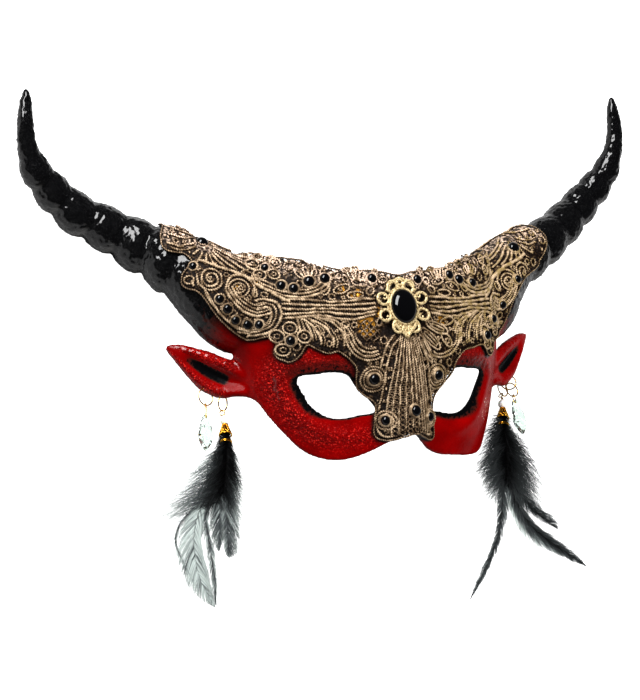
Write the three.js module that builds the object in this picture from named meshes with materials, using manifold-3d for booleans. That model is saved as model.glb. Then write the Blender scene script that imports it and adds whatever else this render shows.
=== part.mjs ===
// Devil mask: a half mask with ribbed horns, pointed ears, a lace overlay and feather earrings.
// The mask is drawn as worn: x to the viewer's right, y up, z out of the face, in millimetres,
// with x = y = z = 0 at the front of the brow. The last group lays it down on its back.
import * as THREE from 'three';
import { mergeVertices } from 'three/addons/utils/BufferGeometryUtils.js';
import Module from 'manifold-3d';

const wasm = await Module();
wasm.setup();

// Moulded shell
const faceDepth = 49; // temples behind the brow, for a quarter turn round the face
const wall = 3; // papier-mache thickness
const faceColumns = 22;
const faceRows = 7;
const edgeTurn = 80; // degrees round the face to the shell's side edge
const edgeReach = 79; // x of the side edge
const columnSpread = 0.75; // under 1, the columns stand closer together at the nose than at the sides
const fillDepth = -110; // z of the flat plane that a filled face ends on
const hollow = { columns: 14, rows: 5, grow: 6 }; // the space behind the shell, past its edges by grow
const halfWidths = [[-85, 71], [-70, 73], [-50, 76.5], [-28, 79.5], [-10, 80], [40, 80]]; // y, half width
const browLine = [[-95, -5], [-79, -2], [-55, -0.5], [-36, 0], [-20, -1], [0, -4], [14, -9], [40, -24]]; // y, z
const noseRise = [[-80, 12], [-65, 11], [-53, 8.7], [-36, 5.5], [-17, 2.2], [0, 0], [20, 0]]; // y, height
const noseHalfWidth = 10;
const lowerEdge = [
  [-79, -46], [-76.5, -46.6], [-72.3, -49.3], [-69, -56.3], [-64.1, -64.3], [-57.2, -72.5], [-49, -77.1],
  [-38.5, -79], [-27.5, -77.5], [-17.3, -73.6], [-9.5, -68.8], [1, -64.7], [11.2, -69], [18.2, -74.9],
  [25.9, -78.1], [38.2, -79.6], [53, -81], [62, -80.6], [67.5, -77], [70.5, -68], [73, -57], [76.5, -48.6],
  [79, -46],
]; // x, y
const upperEdge = [
  [-79, 22], [-68, 24], [-48, 20.5], [-38, 17.5], [-22, 16.2], [0, 13.8], [22, 14.5], [38, 17.5], [48, 21],
  [64, 24], [79, 21],
]; // x, y
const eyeOutline = [
  [53, -36.6], [45.5, -35], [37, -34], [29.6, -35.4], [24.9, -41.5], [19, -47.4], [15.5, -53.6], [23, -55.3],
  [31, -56.8], [38.5, -56.2], [45.5, -51.6], [50.4, -44],
]; // x, y, of the right opening
const eyeCentre = [34, -45];
const eyeFlare = 0.03; // share by which the opening widens for each millimetre inwards
const eyeReach = 5; // the cutter's reach in front of the face, and a third of its reach behind
const faceForms = [
  { at: eyeCentre, height: -3.4, wide: 23, tall: 13 },
  { at: [46, -19], height: 2, wide: 20, tall: 8 },
  { at: [57, -62], height: 1.6, wide: 16, tall: 13 },
]; // eye socket, brow ridge and cheekbone

// Horns: x, y, z of the middle line and the radius there
const leftHorn = [
  [-46, -8, -40, 16], [-60, -5, -42, 21], [-73, -1.5, -46, 23.5], [-86, 8.5, -52, 20.8], [-100, 21.2, -62, 16],
  [-116, 30.4, -72.8, 12.4], [-129.5, 38.2, -77.8, 10.7], [-147.3, 47.5, -81, 9.6], [-160.9, 59.4, -82, 8.4],
  [-170.2, 70.1, -80, 6.9], [-175, 81, -78, 5.3], [-176.4, 92, -77, 4.3], [-176, 103, -77.5, 3.3],
  [-175.4, 111, -78, 1.3],
];
const rightHorn = [
  [46, -8, -40, 16], [60, -5, -42, 21], [73, -1, -46, 22.5], [86, 8.5, -53, 18.8], [102.3, 19, -62, 14.8],
  [123.3, 26.8, -71, 12], [138.9, 35.4, -76, 10.6], [153.4, 45.2, -81, 9.6], [165.4, 56.4, -82, 8.5],
  [173.6, 66.8, -80, 7.1], [178.2, 80, -77.5, 5.4], [179.1, 91.3, -77, 4.4], [178, 103, -77.5, 3.4],
  [177.3, 111.3, -78, 1.3],
];
const leftGrooves = [66, 84, 101, 118.5, 136, 151, 166]; // places along the middle line
const rightGrooves = [72, 91, 110, 128, 144, 157, 169.5];
const hornSides = 12;
const rootDepth = [[0, 0.68], [28, 0.72], [46, 0.84], [66, 0.97], [80, 1], [210, 1]]; // depth of a section over its height
const ribDepth = 0.2; // share of the radius between crest and groove
const ribLean = 0.14; // the rings lean back below, as a share of the radius
const ribSteps = [0, 0.22, 0.74]; // rings of vertices between two grooves
const ribMiddle = 0.62; // share of a rib that stands in from the radius
const ribUnder = 0.3; // the ribs are higher below and lower above, by this share
const rootStep = 9;
const tipSteps = [0, 0.2, 0.42, 0.64, 0.82, 0.93, 1];
const lineParts = 400;

// Ears
const earBase = { low: [77.3, -47.1, -37.5], top: [79.2, -26.8, -40.4], tip: [106.5, -20.7, -57] };
const earUpper = [[-9, 5], [-4, 6.6], [5, 7.4], [16, 6.8], [24, 5.2], [33, 3], [38, 0.4]]; // along, across
const earLower = [[-9, -6.5], [-4, -9], [0.2, -12.1], [7.5, -13.4], [14, -13], [23.4, -9.4], [32.2, -5.4], [38, -2.4]];
const earThickness = [[-9, 6], [0, 6.5], [14, 6], [28, 4.6], [38, 2.6]];
const conchaDepth = [[-9, 1], [0, 3.6], [12, 3.8], [24, 1.6], [30, 0], [38, 0]];
const ear = { columns: 8, rows: 5, concha: 0.42, front: 0.6, back: 0.12, backRound: 0.3 };

// Lace glued over the brow and the horn roots; heights are above the moulded mask
const laceOverhang = 3; // how far the form it lies on runs past the mask's edges
const laceGap = 0.46;
const laceTop = 1.5;
const cordTop = 2.7;
const laceEdges = [
  [[0, 14.6], [12, 16.8], [24, 17.4], [34, 18], [44, 21.6], [56, 23.6], [66, 25], [76, 29.6], [90, 37.5], [105, 42]],
  [[108.5, 37], [110, 30], [101, 26.5], [99, 21], [103.5, 15], [98, 9], [92, -1], [86, -8], [78, -14], [68, -16.4]],
  [[62.7, -18.5], [64, -24], [59, -27.8], [52.5, -21.5], [46, -21], [38, -22.4], [31, -25.5], [27.5, -32]],
  [[26, -38], [22, -44.5], [16.2, -49.5], [16.4, -58], [16.2, -68]],
].flat(); // half width, y: along the top, round the wing, over the eye and down beside the nose
const laceNotch = -64.2; // y of the lace's lower edge in the middle
const laceShift = 1.4; // the lace sits off centre, to the right
const motifs = {
  paisley: [[99, 12.5], [95.5, 2], [89.5, -7], [80, -13.4], [70, -13.8], [62.4, -9], [60, -1]],
  leaf: [[84, 2.6], [77, -3.4], [68.5, -4.8], [62.5, -1], [67, 3.6], [76, 4.4]],
  bands: [[[57, 4.5], [45, 2], [30, 1.5], [15, 3]], [[56, -2], [44, -4], [31, -3.4], [16, -1]]],
}; // half width, y
const cordWidth = 2;
const bosses = [[91, 13, 5], [78.5, 9.6, 4.6], [17.5, -37, 6], [11.5, -58, 4.8]]; // x, y, radius
const arcs = [
  { at: [90, 32], radius: 12, from: 205, to: 320 },
  { at: [19, -14], radius: 9.5, from: 180, to: 290 },
]; // whorls on the wing and beside the nose, seen on the left
const flower = { at: [57, -17.5], radius: 5.4, lobe: 2.2, petals: 5 };
const fan = { ribs: 5, width: 1.6, top: -18.5, middle: -40, foot: -62, rise: 0.6, spread: [2.6, 3.2, 4.4] };
const horn = { behind: 54, above: 72, front: 2, spans: 6 }; // the block behind a horn that bounds the lace

// Gems: x, y and radius; they stand on the lace or, in flowers and rings, as high as its cords
const gems = [
  [-91, 30.6, 3.2], [-98.8, 20.1, 2], [-63.7, 19.1, 2], [-58.5, 10.3, 2.4], [-53.4, 8.9, 2.4], [-46, 12.1, 2.8],
  [-38.2, 13.6, 2.6], [-14.2, 13.4, 2.4], [-88.3, 4, 2.2], [-85, -0.9, 2.4], [-81, -6.8, 2.2], [-75.1, -9, 2.4],
  [-69, -9.4, 2.2], [-57, -17.4, 2.4], [-16.7, -36.9, 2.8], [-10.9, -58.4, 2.4], [0.4, -53.6, 2.8],
  [11.4, -57.5, 2.4], [19.2, -35.8, 2.6], [54.6, -17.8, 2.4], [62, -9.6, 2.2], [75.2, -2.4, 2.2], [88, 10, 2.2],
  [93.6, 25.8, 3.2], [48.8, 9.5, 2.4], [39.3, 11.6, 2.6], [32.9, 14.2, 2.4], [11.6, 12.4, 2.4],
];
const gemDome = [[1, 0], [1, 0.3], [0.66, 0.72], [0, 0.95]]; // radius and height over the gem's radius

// The brow stone in its open-work setting, on a flat plate that leans with the brow
const stone = { at: [0.2, -1.2], halfWide: 7.1, halfTall: 8.7, height: 5.6, sides: 12 };
const stoneDome = [[1, 0], [1, 0.18], [0.86, 0.6], [0.52, 0.9], [0, 1]]; // radius and height as shares
const setting = {
  rise: 2.3, plate: 1.1, bezel: 2.2, flange: 2.5, loops: 8, loopRadius: 2.8, loopHole: 1.3, reach: [11.9, 10.6],
  crest: 12.6, crestRadius: 2.2, crestHole: 0.9, tail: [[-3.6, -10], [0, -17], [3.6, -10]],
};
const seatGap = 0.3;
const rayStart = 12; // how far out from the mask a place for a gem is looked for

// Lying down: the mask leans back until its ears and horns share one level, cut flat there
const lyingTilt = 27.8;
const restLevel = -62.2;

// Earrings, laid out on the level the mask lies on (z = 0), in the lying frame
const hoopWire = 0.36;
const loopWire = 0.3;
const wireGap = 0.34;
// A hoop's centre, radius, the way it hangs and how far its right side dips, in radians
const hoops = {
  left_outer: { at: [-91.9, -20.9, 1.75], radius: 4.4, hang: [-0.18, -0.97, -0.1], dip: 0.26 },
  left_inner: { at: [-83.8, -25.4, 3.2], radius: 4, hang: [-0.15, -0.94, -0.3], dip: 0.6 },
  right_ear: { at: [89.1, -20.4, 2.3], radius: 4.2, hang: [-0.09, -1, 0.01], dip: -0.34 },
  right_outer: { at: [89.8, -24.9, 2.7], radius: 4, hang: [-0.01, -1, 0.03], dip: 0.18 },
  right_inner: { at: [84.6, -24, 2.15], radius: 4.1, hang: [-0.56, -0.81, 0.17], dip: 0.37 },
};
const pierced = ['left_outer', 'left_inner', 'right_ear', 'right_inner']; // hoops that go through an ear
const bail = { height: 2.3, wire: 0.28, inset: 0.09 }; // inset: how far along the crystal it goes through
const crystal = {
  length: 20, flat: 0.6, outline: [[1.5, 0], [2.4, 2.4], [4.2, 11.5], [3.2, 15.5], [0.9, 19.6]], // radius, along
};
const loopRadius = 1.4;
const pearlRadius = 2.5;
const cap = { length: 6.2, top: 1.3, mouth: 3.3, wall: 0.6 };
const band = { radius: 3, below: 4.5 }; // below: its distance from the cap's mouth
const pin = { reach: 2.5, gap: 0.3 }; // how far the hanger's pin goes into the cap, and the gap between pearl and cap
const capReach = 20;
const drops = {
  left: { crystal: [[-94.3, -31.3, 2.7], [-98.9, -51.2, 2.7]], feathers: [[-83.4, -31.8, 2.6], [-86, -42.9, 3.4]] },
  right: { crystal: [[89.9, -31.2, 2.7], [89.6, -51, 2.7]], feathers: [[82.9, -30.6, 2.7], [79.4, -41.3, 3.4]] },
};
// Feathers: x, y, z, half width and half thickness along each
const thinnest = 0.3; // half width at a feather's tip
const plumes = {
  left: [
    [[-85.8, -41.6, 3.4, 1.9, 1.9], [-86.9, -46.6, 3.5, 1.9, 1.9], [-88.2, -51.5, 3.1, 4, 2.4],
      [-91, -60, 3, 8, 2.7], [-94, -72, 2.6, 9, 2.1], [-96, -86, 1.1, 3, 0.6]],
    [[-92, -58, 1.7, 4, 0.5], [-104, -69, 1, 8, 0.4], [-115, -79, 0.8, 6, 0.3], [-127, -89, 0.6, 0.4, 0.2]],
    [[-97, -68, 1.5, 3, 0.5], [-104, -79, 1, 6, 0.4], [-112, -91, 0.8, 9, 0.3], [-114.5, -103, 0.8, 8.6, 0.3],
      [-114, -117, 0.8, 5.4, 0.3], [-110, -132.8, 0.8, 0.4, 0.2]],
    [[-94, -72, 1.2, 5, 0.5], [-95.5, -88, 0.8, 9, 0.3], [-97, -100, 0.7, 6, 0.3], [-97.4, -107.7, 0.6, 0.4, 0.2]],
    [[-90, -58, 1.6, 3, 0.5], [-85.5, -67, 1.2, 5, 0.4], [-78.4, -77, 0.8, 0.4, 0.2]],
  ],
  right: [
    [[79.7, -40.3, 3.3, 1.9, 1.9], [78, -45.5, 3.5, 1.9, 1.9], [77.6, -50, 3.1, 5, 2.4],
      [77.3, -59, 3, 11, 2.7], [75, -73, 2, 10, 1.5], [72.3, -83, 1.1, 3, 0.6]],
    [[72.5, -78, 1.2, 3, 0.4], [67, -91, 0.9, 4, 0.3], [58.7, -104, 0.8, 3.6, 0.3], [47, -121, 0.8, 2.4, 0.3],
      [33.6, -140.4, 0.8, 0.4, 0.2]],
    [[76, -76, 1.2, 4, 0.4], [84, -88, 0.9, 5, 0.3], [97.3, -105.7, 0.6, 0.4, 0.2]],
    [[74, -80, 1.1, 4, 0.4], [83, -98, 0.8, 6, 0.3], [94, -113, 0.8, 4, 0.3], [109.3, -127.6, 0.6, 0.4, 0.2]],
  ],
};

const rad = THREE.MathUtils.degToRad;
const point = (x, y, z) => new THREE.Vector3(x, y, z);

// A smooth curve through a short table of pairs
function profile(pairs) {
  const curve = new THREE.CubicInterpolant(pairs.map((p) => p[0]), pairs.map((p) => p[1]), 1);
  return (at) => curve.evaluate(at)[0];
}

function solidOf(geometry) {
  const bare = geometry.clone();
  bare.deleteAttribute('normal');
  bare.deleteAttribute('uv');
  const merged = mergeVertices(bare, 1e-4);
  const mesh = new wasm.Mesh({
    numProp: 3,
    vertProperties: new Float32Array(merged.attributes.position.array),
    triVerts: new Uint32Array(merged.index.array),
  });
  return new wasm.Manifold(mesh);
}

function geometryOf(solid) {
  const mesh = solid.getMesh();
  const geometry = new THREE.BufferGeometry();
  geometry.setAttribute('position', new THREE.BufferAttribute(mesh.vertProperties, 3));
  geometry.setIndex(new THREE.BufferAttribute(mesh.triVerts, 1));
  return geometry;
}

// Moves every vertex of a box or cylinder to where place() says
function shaped(geometry, place) {
  const vertices = geometry.attributes.position;
  for (let i = 0; i < vertices.count; i += 1) {
    const to = place(vertices.getX(i), vertices.getY(i), vertices.getZ(i));
    vertices.setXYZ(i, to.x, to.y, to.z);
  }
  return geometry;
}

function mirrored(geometry) {
  geometry.scale(-1, 1, 1);
  geometry.index.array.reverse();
  return geometry;
}

const halfWidthAt = profile(halfWidths);
const browAt = profile(browLine);
const noseAt = profile(noseRise);
const depthAt = profile(rootDepth);
const lowerEdgeAt = profile(lowerEdge);
const upperEdgeAt = profile(upperEdge);

function bump(x, y, { at, height, wide, tall }) {
  return height * Math.exp(-(((x - at[0]) / wide) ** 2) - ((y - at[1]) / tall) ** 2);
}

// Front of the bare face at a turn of t radians round the head
function facePoint(t, y) {
  const x = halfWidthAt(y) * Math.sin(t);
  const side = Math.abs(x);
  let z = faceDepth * (Math.cos(t) - 1) + browAt(y);
  z += noseAt(y) * Math.exp(-((x / noseHalfWidth) ** 2));
  for (const form of faceForms) z += bump(side, y, form);
  return point(x, y, z);
}

function faceOffset(t, y, offset) {
  const step = 0.02;
  const across = facePoint(t + step, y).sub(facePoint(t - step, y));
  const along = facePoint(t, y + step).sub(facePoint(t, y - step));
  return facePoint(t, y).addScaledVector(across.cross(along).normalize(), offset);
}

// The face between two offsets from its front; a back of null fills it back to a flat plane
function faceSolid(front, back, columns, rows, grow) {
  const turn = rad(edgeTurn) + grow / edgeReach;
  return solidOf(shaped(new THREE.BoxGeometry(1, 1, 1, columns, rows, 1), (i, j, k) => {
    const t = 2 * i * turn * (columnSpread + 4 * (1 - columnSpread) * i * i);
    const x = edgeReach * Math.sin(t);
    const y = THREE.MathUtils.lerp(lowerEdgeAt(x) - grow, upperEdgeAt(x) + grow, j + 0.5);
    if (k > 0) return faceOffset(t, y, front);
    if (back !== null) return faceOffset(t, y, back);
    return point(x, y, fillDepth);
  }));
}

// Places along a horn's middle line where its rings of vertices stand
function hornStations(grooves, total) {
  const stations = [];
  for (let at = 0; at < grooves[0] - rootStep / 2; at += rootStep) stations.push(at);
  grooves.slice(0, -1).forEach((groove, i) => {
    for (const step of ribSteps) stations.push(groove + step * (grooves[i + 1] - groove));
  });
  const last = grooves[grooves.length - 1];
  for (const step of tipSteps) stations.push(last + step * (total - last));
  return stations;
}

// Height of the ribs: round between two grooves, and nothing on the root and the tip
function ribHeight(at, grooves) {
  const i = grooves.findIndex((groove, k) => at >= groove && at < grooves[k + 1]);
  if (i < 0) return 0;
  const across = (at - grooves[i]) / (grooves[i + 1] - grooves[i]);
  return Math.sqrt(Math.sin(Math.PI * across)) - ribMiddle;
}

// A horn swept along its middle line, with rings like a goat's
function hornSolid(table, grooves, grow) {
  const line = new THREE.CatmullRomCurve3(table.map((p) => point(p[0], p[1], p[2])), false, 'centripetal');
  const lengths = line.getLengths(lineParts);
  const total = lengths[lineParts];
  const knots = table.map((p, i) => [lengths[Math.round((lineParts * i) / (table.length - 1))], p[3]]);
  const radiusAt = profile(knots);
  const stations = hornStations(grooves, total);
  const rings = stations.length - 1;
  return solidOf(shaped(new THREE.CylinderGeometry(1, 1, 1, hornSides, rings), (i, j, k) => {
    const at = stations[Math.round((j + 0.5) * rings)];
    const centre = line.getPointAt(at / total);
    if (Math.hypot(i, k) < 0.5) return centre;
    const tangent = line.getTangentAt(at / total);
    const level = tangent.clone().cross(point(0, 0, 1)).normalize();
    const out = level.clone().cross(tangent);
    const angle = Math.atan2(k, i);
    const down = Math.cos(angle) * Math.sign(table[0][0]);
    const crest = ribDepth * ribHeight(at, grooves) * (1 + ribUnder * down);
    const radius = (radiusAt(at) + grow) * (1 + crest);
    const depth = radius * depthAt(at);
    centre.addScaledVector(level, radius * Math.cos(angle)).addScaledVector(out, depth * Math.sin(angle));
    return centre.addScaledVector(tangent, -ribLean * radius * down);
  }));
}

// An ear as a thick leaf with a hollow in its front
function earSolid(side) {
  const [low, top, tip] = ['low', 'top', 'tip'].map((k) => point(...earBase[k]));
  const base = low.clone().add(top).multiplyScalar(0.5);
  const along = tip.clone().sub(base).normalize();
  const across = top.clone().sub(low);
  across.addScaledVector(along, -across.dot(along)).normalize();
  const out = along.clone().cross(across).normalize();
  if (out.z < 0) out.negate();
  const [upper, lower, thick, concha] = [earUpper, earLower, earThickness, conchaDepth].map(profile);
  const geometry = shaped(new THREE.BoxGeometry(1, 1, 1, ear.columns, ear.rows, 1), (i, j, k) => {
    const u = THREE.MathUtils.lerp(earUpper[0][0], earUpper[earUpper.length - 1][0], i + 0.5);
    const middle = (upper(u) + lower(u)) / 2;
    const half = (upper(u) - lower(u)) / 2;
    const s = 2 * j;
    const round = Math.sqrt(Math.max(0, 1 - s * s));
    const rise = k > 0
      ? thick(u) * 0.5 * round - concha(u) * Math.exp(-((s / ear.concha) ** 2)) + ear.front
      : -thick(u) * (ear.back + ear.backRound * round);
    const spread = middle + half * s;
    const at = base.clone().addScaledVector(along, u).addScaledVector(across, spread);
    return at.addScaledVector(out, rise);
  });
  return solidOf(side < 0 ? mirrored(geometry) : geometry);
}

// A flat outline made into a prism that runs through the whole depth of the mask
function prism(shape) {
  const depth = 40 - fillDepth;
  const geometry = new THREE.ExtrudeGeometry(shape, { depth, bevelEnabled: false, steps: 1 });
  return solidOf(geometry.translate(0, 0, fillDepth));
}

function roundedShape(points, steps) {
  const curve = new THREE.CatmullRomCurve3(points.map(([x, y]) => point(x, y, 0)), true, 'centripetal');
  return new THREE.Shape(curve.getPoints(steps).slice(0, -1).map((p) => new THREE.Vector2(p.x, p.y)));
}

// The cutter for an eye opening, which widens towards the inside of the mask
function eyeSolid(side) {
  const shape = roundedShape(eyeOutline.map(([x, y]) => [side * x, y]), 2 * eyeOutline.length);
  const geometry = new THREE.ExtrudeGeometry(shape, { depth: 1, bevelEnabled: false, steps: 1 });
  return solidOf(shaped(geometry, (x, y, k) => {
    const depth = k > 0.5 ? -eyeReach : 3 * eyeReach;
    const front = facePoint(Math.asin(x / halfWidthAt(y)), y).z;
    const size = 1 + eyeFlare * depth;
    const middle = side * eyeCentre[0];
    return point(middle + (x - middle) * size, eyeCentre[1] + (y - eyeCentre[1]) * size, front - depth);
  }));
}

// Axes for a wire that hangs along a line: across it, back up it, and its own normal
function hangingAxes(hang, dip) {
  const down = point(...hang).normalize();
  const level = point(0, 0, 1).cross(down).normalize();
  if (level.x < 0) level.negate();
  const over = down.clone().cross(level);
  if (over.z < 0) over.negate();
  const across = level.multiplyScalar(Math.cos(dip)).addScaledVector(over, -Math.sin(dip));
  const up = down.clone().negate();
  return { across, up, normal: across.clone().cross(up), down };
}

function placement(x, y, z, at) {
  return new THREE.Matrix4().makeBasis(x, y, z).setPosition(at);
}

function hoopGeometry(name, wire, steps) {
  const hoop = hoops[name];
  const axes = hangingAxes(hoop.hang, hoop.dip);
  const geometry = new THREE.TorusGeometry(hoop.radius, wire, 4, steps);
  return geometry.applyMatrix4(placement(axes.across, axes.up, axes.normal, point(...hoop.at)));
}

// The wider wire that pierces an ear where its hoop goes through, in the worn frame
function hoopHole(name) {
  const geometry = hoopGeometry(name, hoopWire + wireGap + 0.1, 12);
  return solidOf(geometry.translate(0, 0, restLevel).rotateX(-rad(lyingTilt)));
}

// The lowest point of a hoop, where the next piece hangs on
function hoopFoot(name) {
  const hoop = hoops[name];
  return point(...hoop.at).addScaledVector(point(...hoop.hang).normalize(), hoop.radius);
}

// A long link that stands on edge, round a hoop's wire at one end and through a drop at the other
function bailGeometry(name, to, wire) {
  const foot = hoopFoot(name);
  const end = point(...to[0]).lerp(point(...to[1]), bail.inset);
  const down = end.clone().sub(foot).normalize();
  const start = foot.addScaledVector(down, -(hoopWire + bail.wire + wireGap));
  const across = down.clone().cross(point(0, 0, 1)).normalize();
  const over = across.clone().cross(down);
  const geometry = new THREE.TorusGeometry(1, wire, 4, 10);
  const half = start.distanceTo(end) / 2;
  shaped(geometry, (x, y, z) => {
    const shape = Math.hypot(x, y);
    const [i, j] = [x / shape, y / shape];
    return point(i * (half + shape - 1), j * (bail.height / 2 + shape - 1), z);
  });
  return geometry.applyMatrix4(placement(down, over, down.clone().cross(over), start.lerp(end, 0.5)));
}

// Turns an outline of radius and length about the line between two points, made flatter across it
function turned(points, sides, line, flat) {
  const [from, to] = line;
  const along = to.clone().sub(from).normalize();
  const across = along.clone().cross(point(0, 0, 1)).normalize();
  const geometry = new THREE.LatheGeometry(points.map(([r, h]) => new THREE.Vector2(r, h)), sides);
  geometry.scale(1, 1, flat);
  return solidOf(geometry.applyMatrix4(placement(across, along, across.clone().cross(along), from)));
}

// A feather or a tuft of them: a flat tube along a curve in the level plane
function plumeSolid(rows) {
  const line = new THREE.CatmullRomCurve3(rows.map(([x, y, z]) => point(x, y, z)), false, 'centripetal');
  const wide = profile(rows.map((row, i) => [i, row[3]]));
  const thick = profile(rows.map((row, i) => [i, row[4]]));
  const isTuft = rows[0][4] > 1;
  const [sides, steps] = isTuft ? [6, 7] : [4, 5];
  return solidOf(shaped(new THREE.CylinderGeometry(1, 1, 1, sides, steps), (i, j, k) => {
    const share = 0.5 - j;
    const centre = line.getPoint(share);
    if (Math.hypot(i, k) < 0.5) return centre;
    const across = point(0, 0, 1).cross(line.getTangent(share)).normalize();
    const at = share * (rows.length - 1);
    centre.addScaledVector(across, Math.max(thinnest, wide(at)) * i);
    return centre.add(point(0, 0, Math.max(thinnest / 2, thick(at)) * k));
  }));
}

const hornTables = [[leftHorn, leftGrooves], [rightHorn, rightGrooves]];
const horns = hornTables.map(([table, grooves]) => hornSolid(table, grooves, 0));
const insideVoid = faceSolid(-wall, null, hollow.columns, hollow.rows, hollow.grow);
let body = faceSolid(0, -wall, faceColumns, faceRows, 0);
for (const horn of horns) body = body.add(horn.subtract(insideVoid));
for (const side of [-1, 1]) body = body.add(earSolid(side).subtract(insideVoid));
for (const side of [-1, 1]) body = body.subtract(eyeSolid(side));
for (const name of pierced) body = body.subtract(hoopHole(name));
const groundBox = new THREE.BoxGeometry(500, 500, 40).translate(0, 0, restLevel - 20).rotateX(-rad(lyingTilt));
body = body.subtract(solidOf(groundBox));

// A point of a half-width table on one side of the mask
const sided = (side, points) => points.map(([x, y]) => [side * x + laceShift, y]);

// A flat band of one width along a smooth line
function strip(points, width, steps) {
  const line = new THREE.CatmullRomCurve3(points.map(([x, y]) => point(x, y, 0)), false, 'centripetal');
  const edges = [[], []];
  for (let i = 0; i <= steps; i += 1) {
    const at = line.getPointAt(i / steps);
    const across = line.getTangentAt(i / steps).cross(point(0, 0, 1)).multiplyScalar(width / 2);
    edges[0].push(new THREE.Vector2(at.x + across.x, at.y + across.y));
    edges[1].unshift(new THREE.Vector2(at.x - across.x, at.y - across.y));
  }
  return new THREE.Shape(edges.flat());
}

function circlePoints(x, y, radius, sides) {
  const points = [];
  for (let i = 0; i < sides; i += 1) {
    const angle = (2 * Math.PI * i) / sides;
    points.push(new THREE.Vector2(x + radius * Math.cos(angle), y + radius * Math.sin(angle)));
  }
  return points;
}

function ringShape(x, y, outer, inner, sides) {
  const shape = new THREE.Shape(circlePoints(x, y, outer, sides));
  shape.holes.push(new THREE.Path(circlePoints(x, y, inner, sides)));
  return shape;
}

function arcPoints(side, arc) {
  return [0, 0.25, 0.5, 0.75, 1].map((share) => {
    const angle = rad(THREE.MathUtils.lerp(arc.from, arc.to, share));
    return [side * (arc.at[0] - arc.radius * Math.cos(angle)) + laceShift, arc.at[1] + arc.radius * Math.sin(angle)];
  });
}

function flowerShape(side) {
  const points = [];
  const steps = 4 * flower.petals;
  for (let i = 0; i < steps; i += 1) {
    const angle = (2 * Math.PI * i) / steps;
    const radius = flower.radius + flower.lobe * Math.cos(flower.petals * angle);
    const x = side * (flower.at[0] + radius * Math.sin(angle)) + laceShift;
    points.push(new THREE.Vector2(x, flower.at[1] - radius * Math.cos(angle)));
  }
  return new THREE.Shape(points);
}

// Everything that stands up from the lace: outlines seen from the front
function cordShapes() {
  const shapes = [];
  for (const side of [-1, 1]) {
    shapes.push(strip(sided(side, motifs.paisley), cordWidth, 5));
    shapes.push(roundedShape(sided(side, motifs.leaf), 9));
    for (const line of motifs.bands) shapes.push(strip(sided(side, line), cordWidth, 2));
    for (const arc of arcs) shapes.push(strip(arcPoints(side, arc), cordWidth, 4));
    for (const [across, up, radius] of bosses) {
      shapes.push(new THREE.Shape(circlePoints(side * across + laceShift, up, radius, 7)));
    }
    shapes.push(flowerShape(side));
  }
  for (let i = 0; i < fan.ribs; i += 1) {
    const k = i - (fan.ribs - 1) / 2;
    const heights = [fan.top, fan.middle, fan.foot - fan.rise * Math.abs(k)];
    shapes.push(strip(heights.map((y, n) => [1 + fan.spread[n] * k, y]), fan.width, 2));
  }
  return shapes;
}

// The mask's front moved out by an offset and filled back, horns with it
function skin(offset) {
  let grown = faceSolid(offset, null, faceColumns, faceRows, laceOverhang);
  for (const [table, grooves] of hornTables) grown = grown.add(hornSolid(table, grooves, offset));
  return grown;
}

// All that lies behind a horn's middle line, where the lace ends
function behindHorn(table) {
  return solidOf(shaped(new THREE.BoxGeometry(1, 1, 1, horn.spans, 1, 1), (i, j, k) => {
    const side = Math.sign(table[0][0]);
    const [x, y, z] = table[Math.round((side * i + 0.5) * horn.spans)];
    return point(x - side * horn.behind * j, y + horn.above * j, k > 0 ? z + horn.front : 2 * fillDepth);
  }));
}

function laceSolid() {
  const half = (side) => sided(side, laceEdges);
  const outline = [...half(1), [laceShift, laceNotch], ...half(-1).slice(1).reverse()];
  const cords = cordShapes().map(prism).reduce((all, cord) => all.add(cord));
  let lace = skin(laceTop).intersect(prism(roundedShape(outline, 76)));
  lace = lace.add(skin(cordTop).intersect(cords)).subtract(skin(laceGap));
  for (const table of [leftHorn, rightHorn]) lace = lace.subtract(behindHorn(table));
  return lace;
}

function mesh(name, geometry, colour, roughness, metalness) {
  const material = new THREE.MeshStandardMaterial({ color: colour, roughness, metalness });
  const made = new THREE.Mesh(geometry, material);
  made.name = name;
  return made;
}

// Where a line along z first meets a mesh
function frontOf(target, x, y) {
  return new THREE.Raycaster(point(x, y, 100), point(0, 0, -1)).intersectObject(target)[0].point;
}

// The way the mask's front faces at a place, taken across a gem's width
function facing(target, x, y, reach) {
  const across = frontOf(target, x + reach, y).sub(frontOf(target, x - reach, y));
  const up = frontOf(target, x, y + reach).sub(frontOf(target, x, y - reach));
  return across.cross(up).normalize();
}

// Sets a mesh, whose base is at y = 0, over the highest lace under its rim
function seated(made, x, y, rim) {
  const out = facing(form, x, y, rim * 0.3);
  const foot = frontOf(form, x, y);
  const turn = new THREE.Quaternion().setFromUnitVectors(point(0, 1, 0), out);
  let highest = laceTop;
  for (let i = 0; i <= 8; i += 1) {
    const spot = point(Math.cos((i * Math.PI) / 4), 0, Math.sin((i * Math.PI) / 4));
    spot.multiplyScalar(i < 8 ? rim : 0).applyQuaternion(turn).add(foot);
    const ray = new THREE.Raycaster(spot.clone().addScaledVector(out, rayStart), out.clone().negate());
    const hits = ray.intersectObject(laceMesh);
    if (hits.length > 0) highest = Math.max(highest, rayStart - hits[0].distance);
  }
  made.position.copy(foot).addScaledVector(out, highest + seatGap);
  made.quaternion.copy(turn);
  return made;
}

function gemGeometry(radius) {
  const outline = gemDome.map(([r, h]) => new THREE.Vector2(r * radius, h * radius));
  return geometryOf(solidOf(new THREE.LatheGeometry([new THREE.Vector2(0, 0), ...outline], 7)));
}

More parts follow.
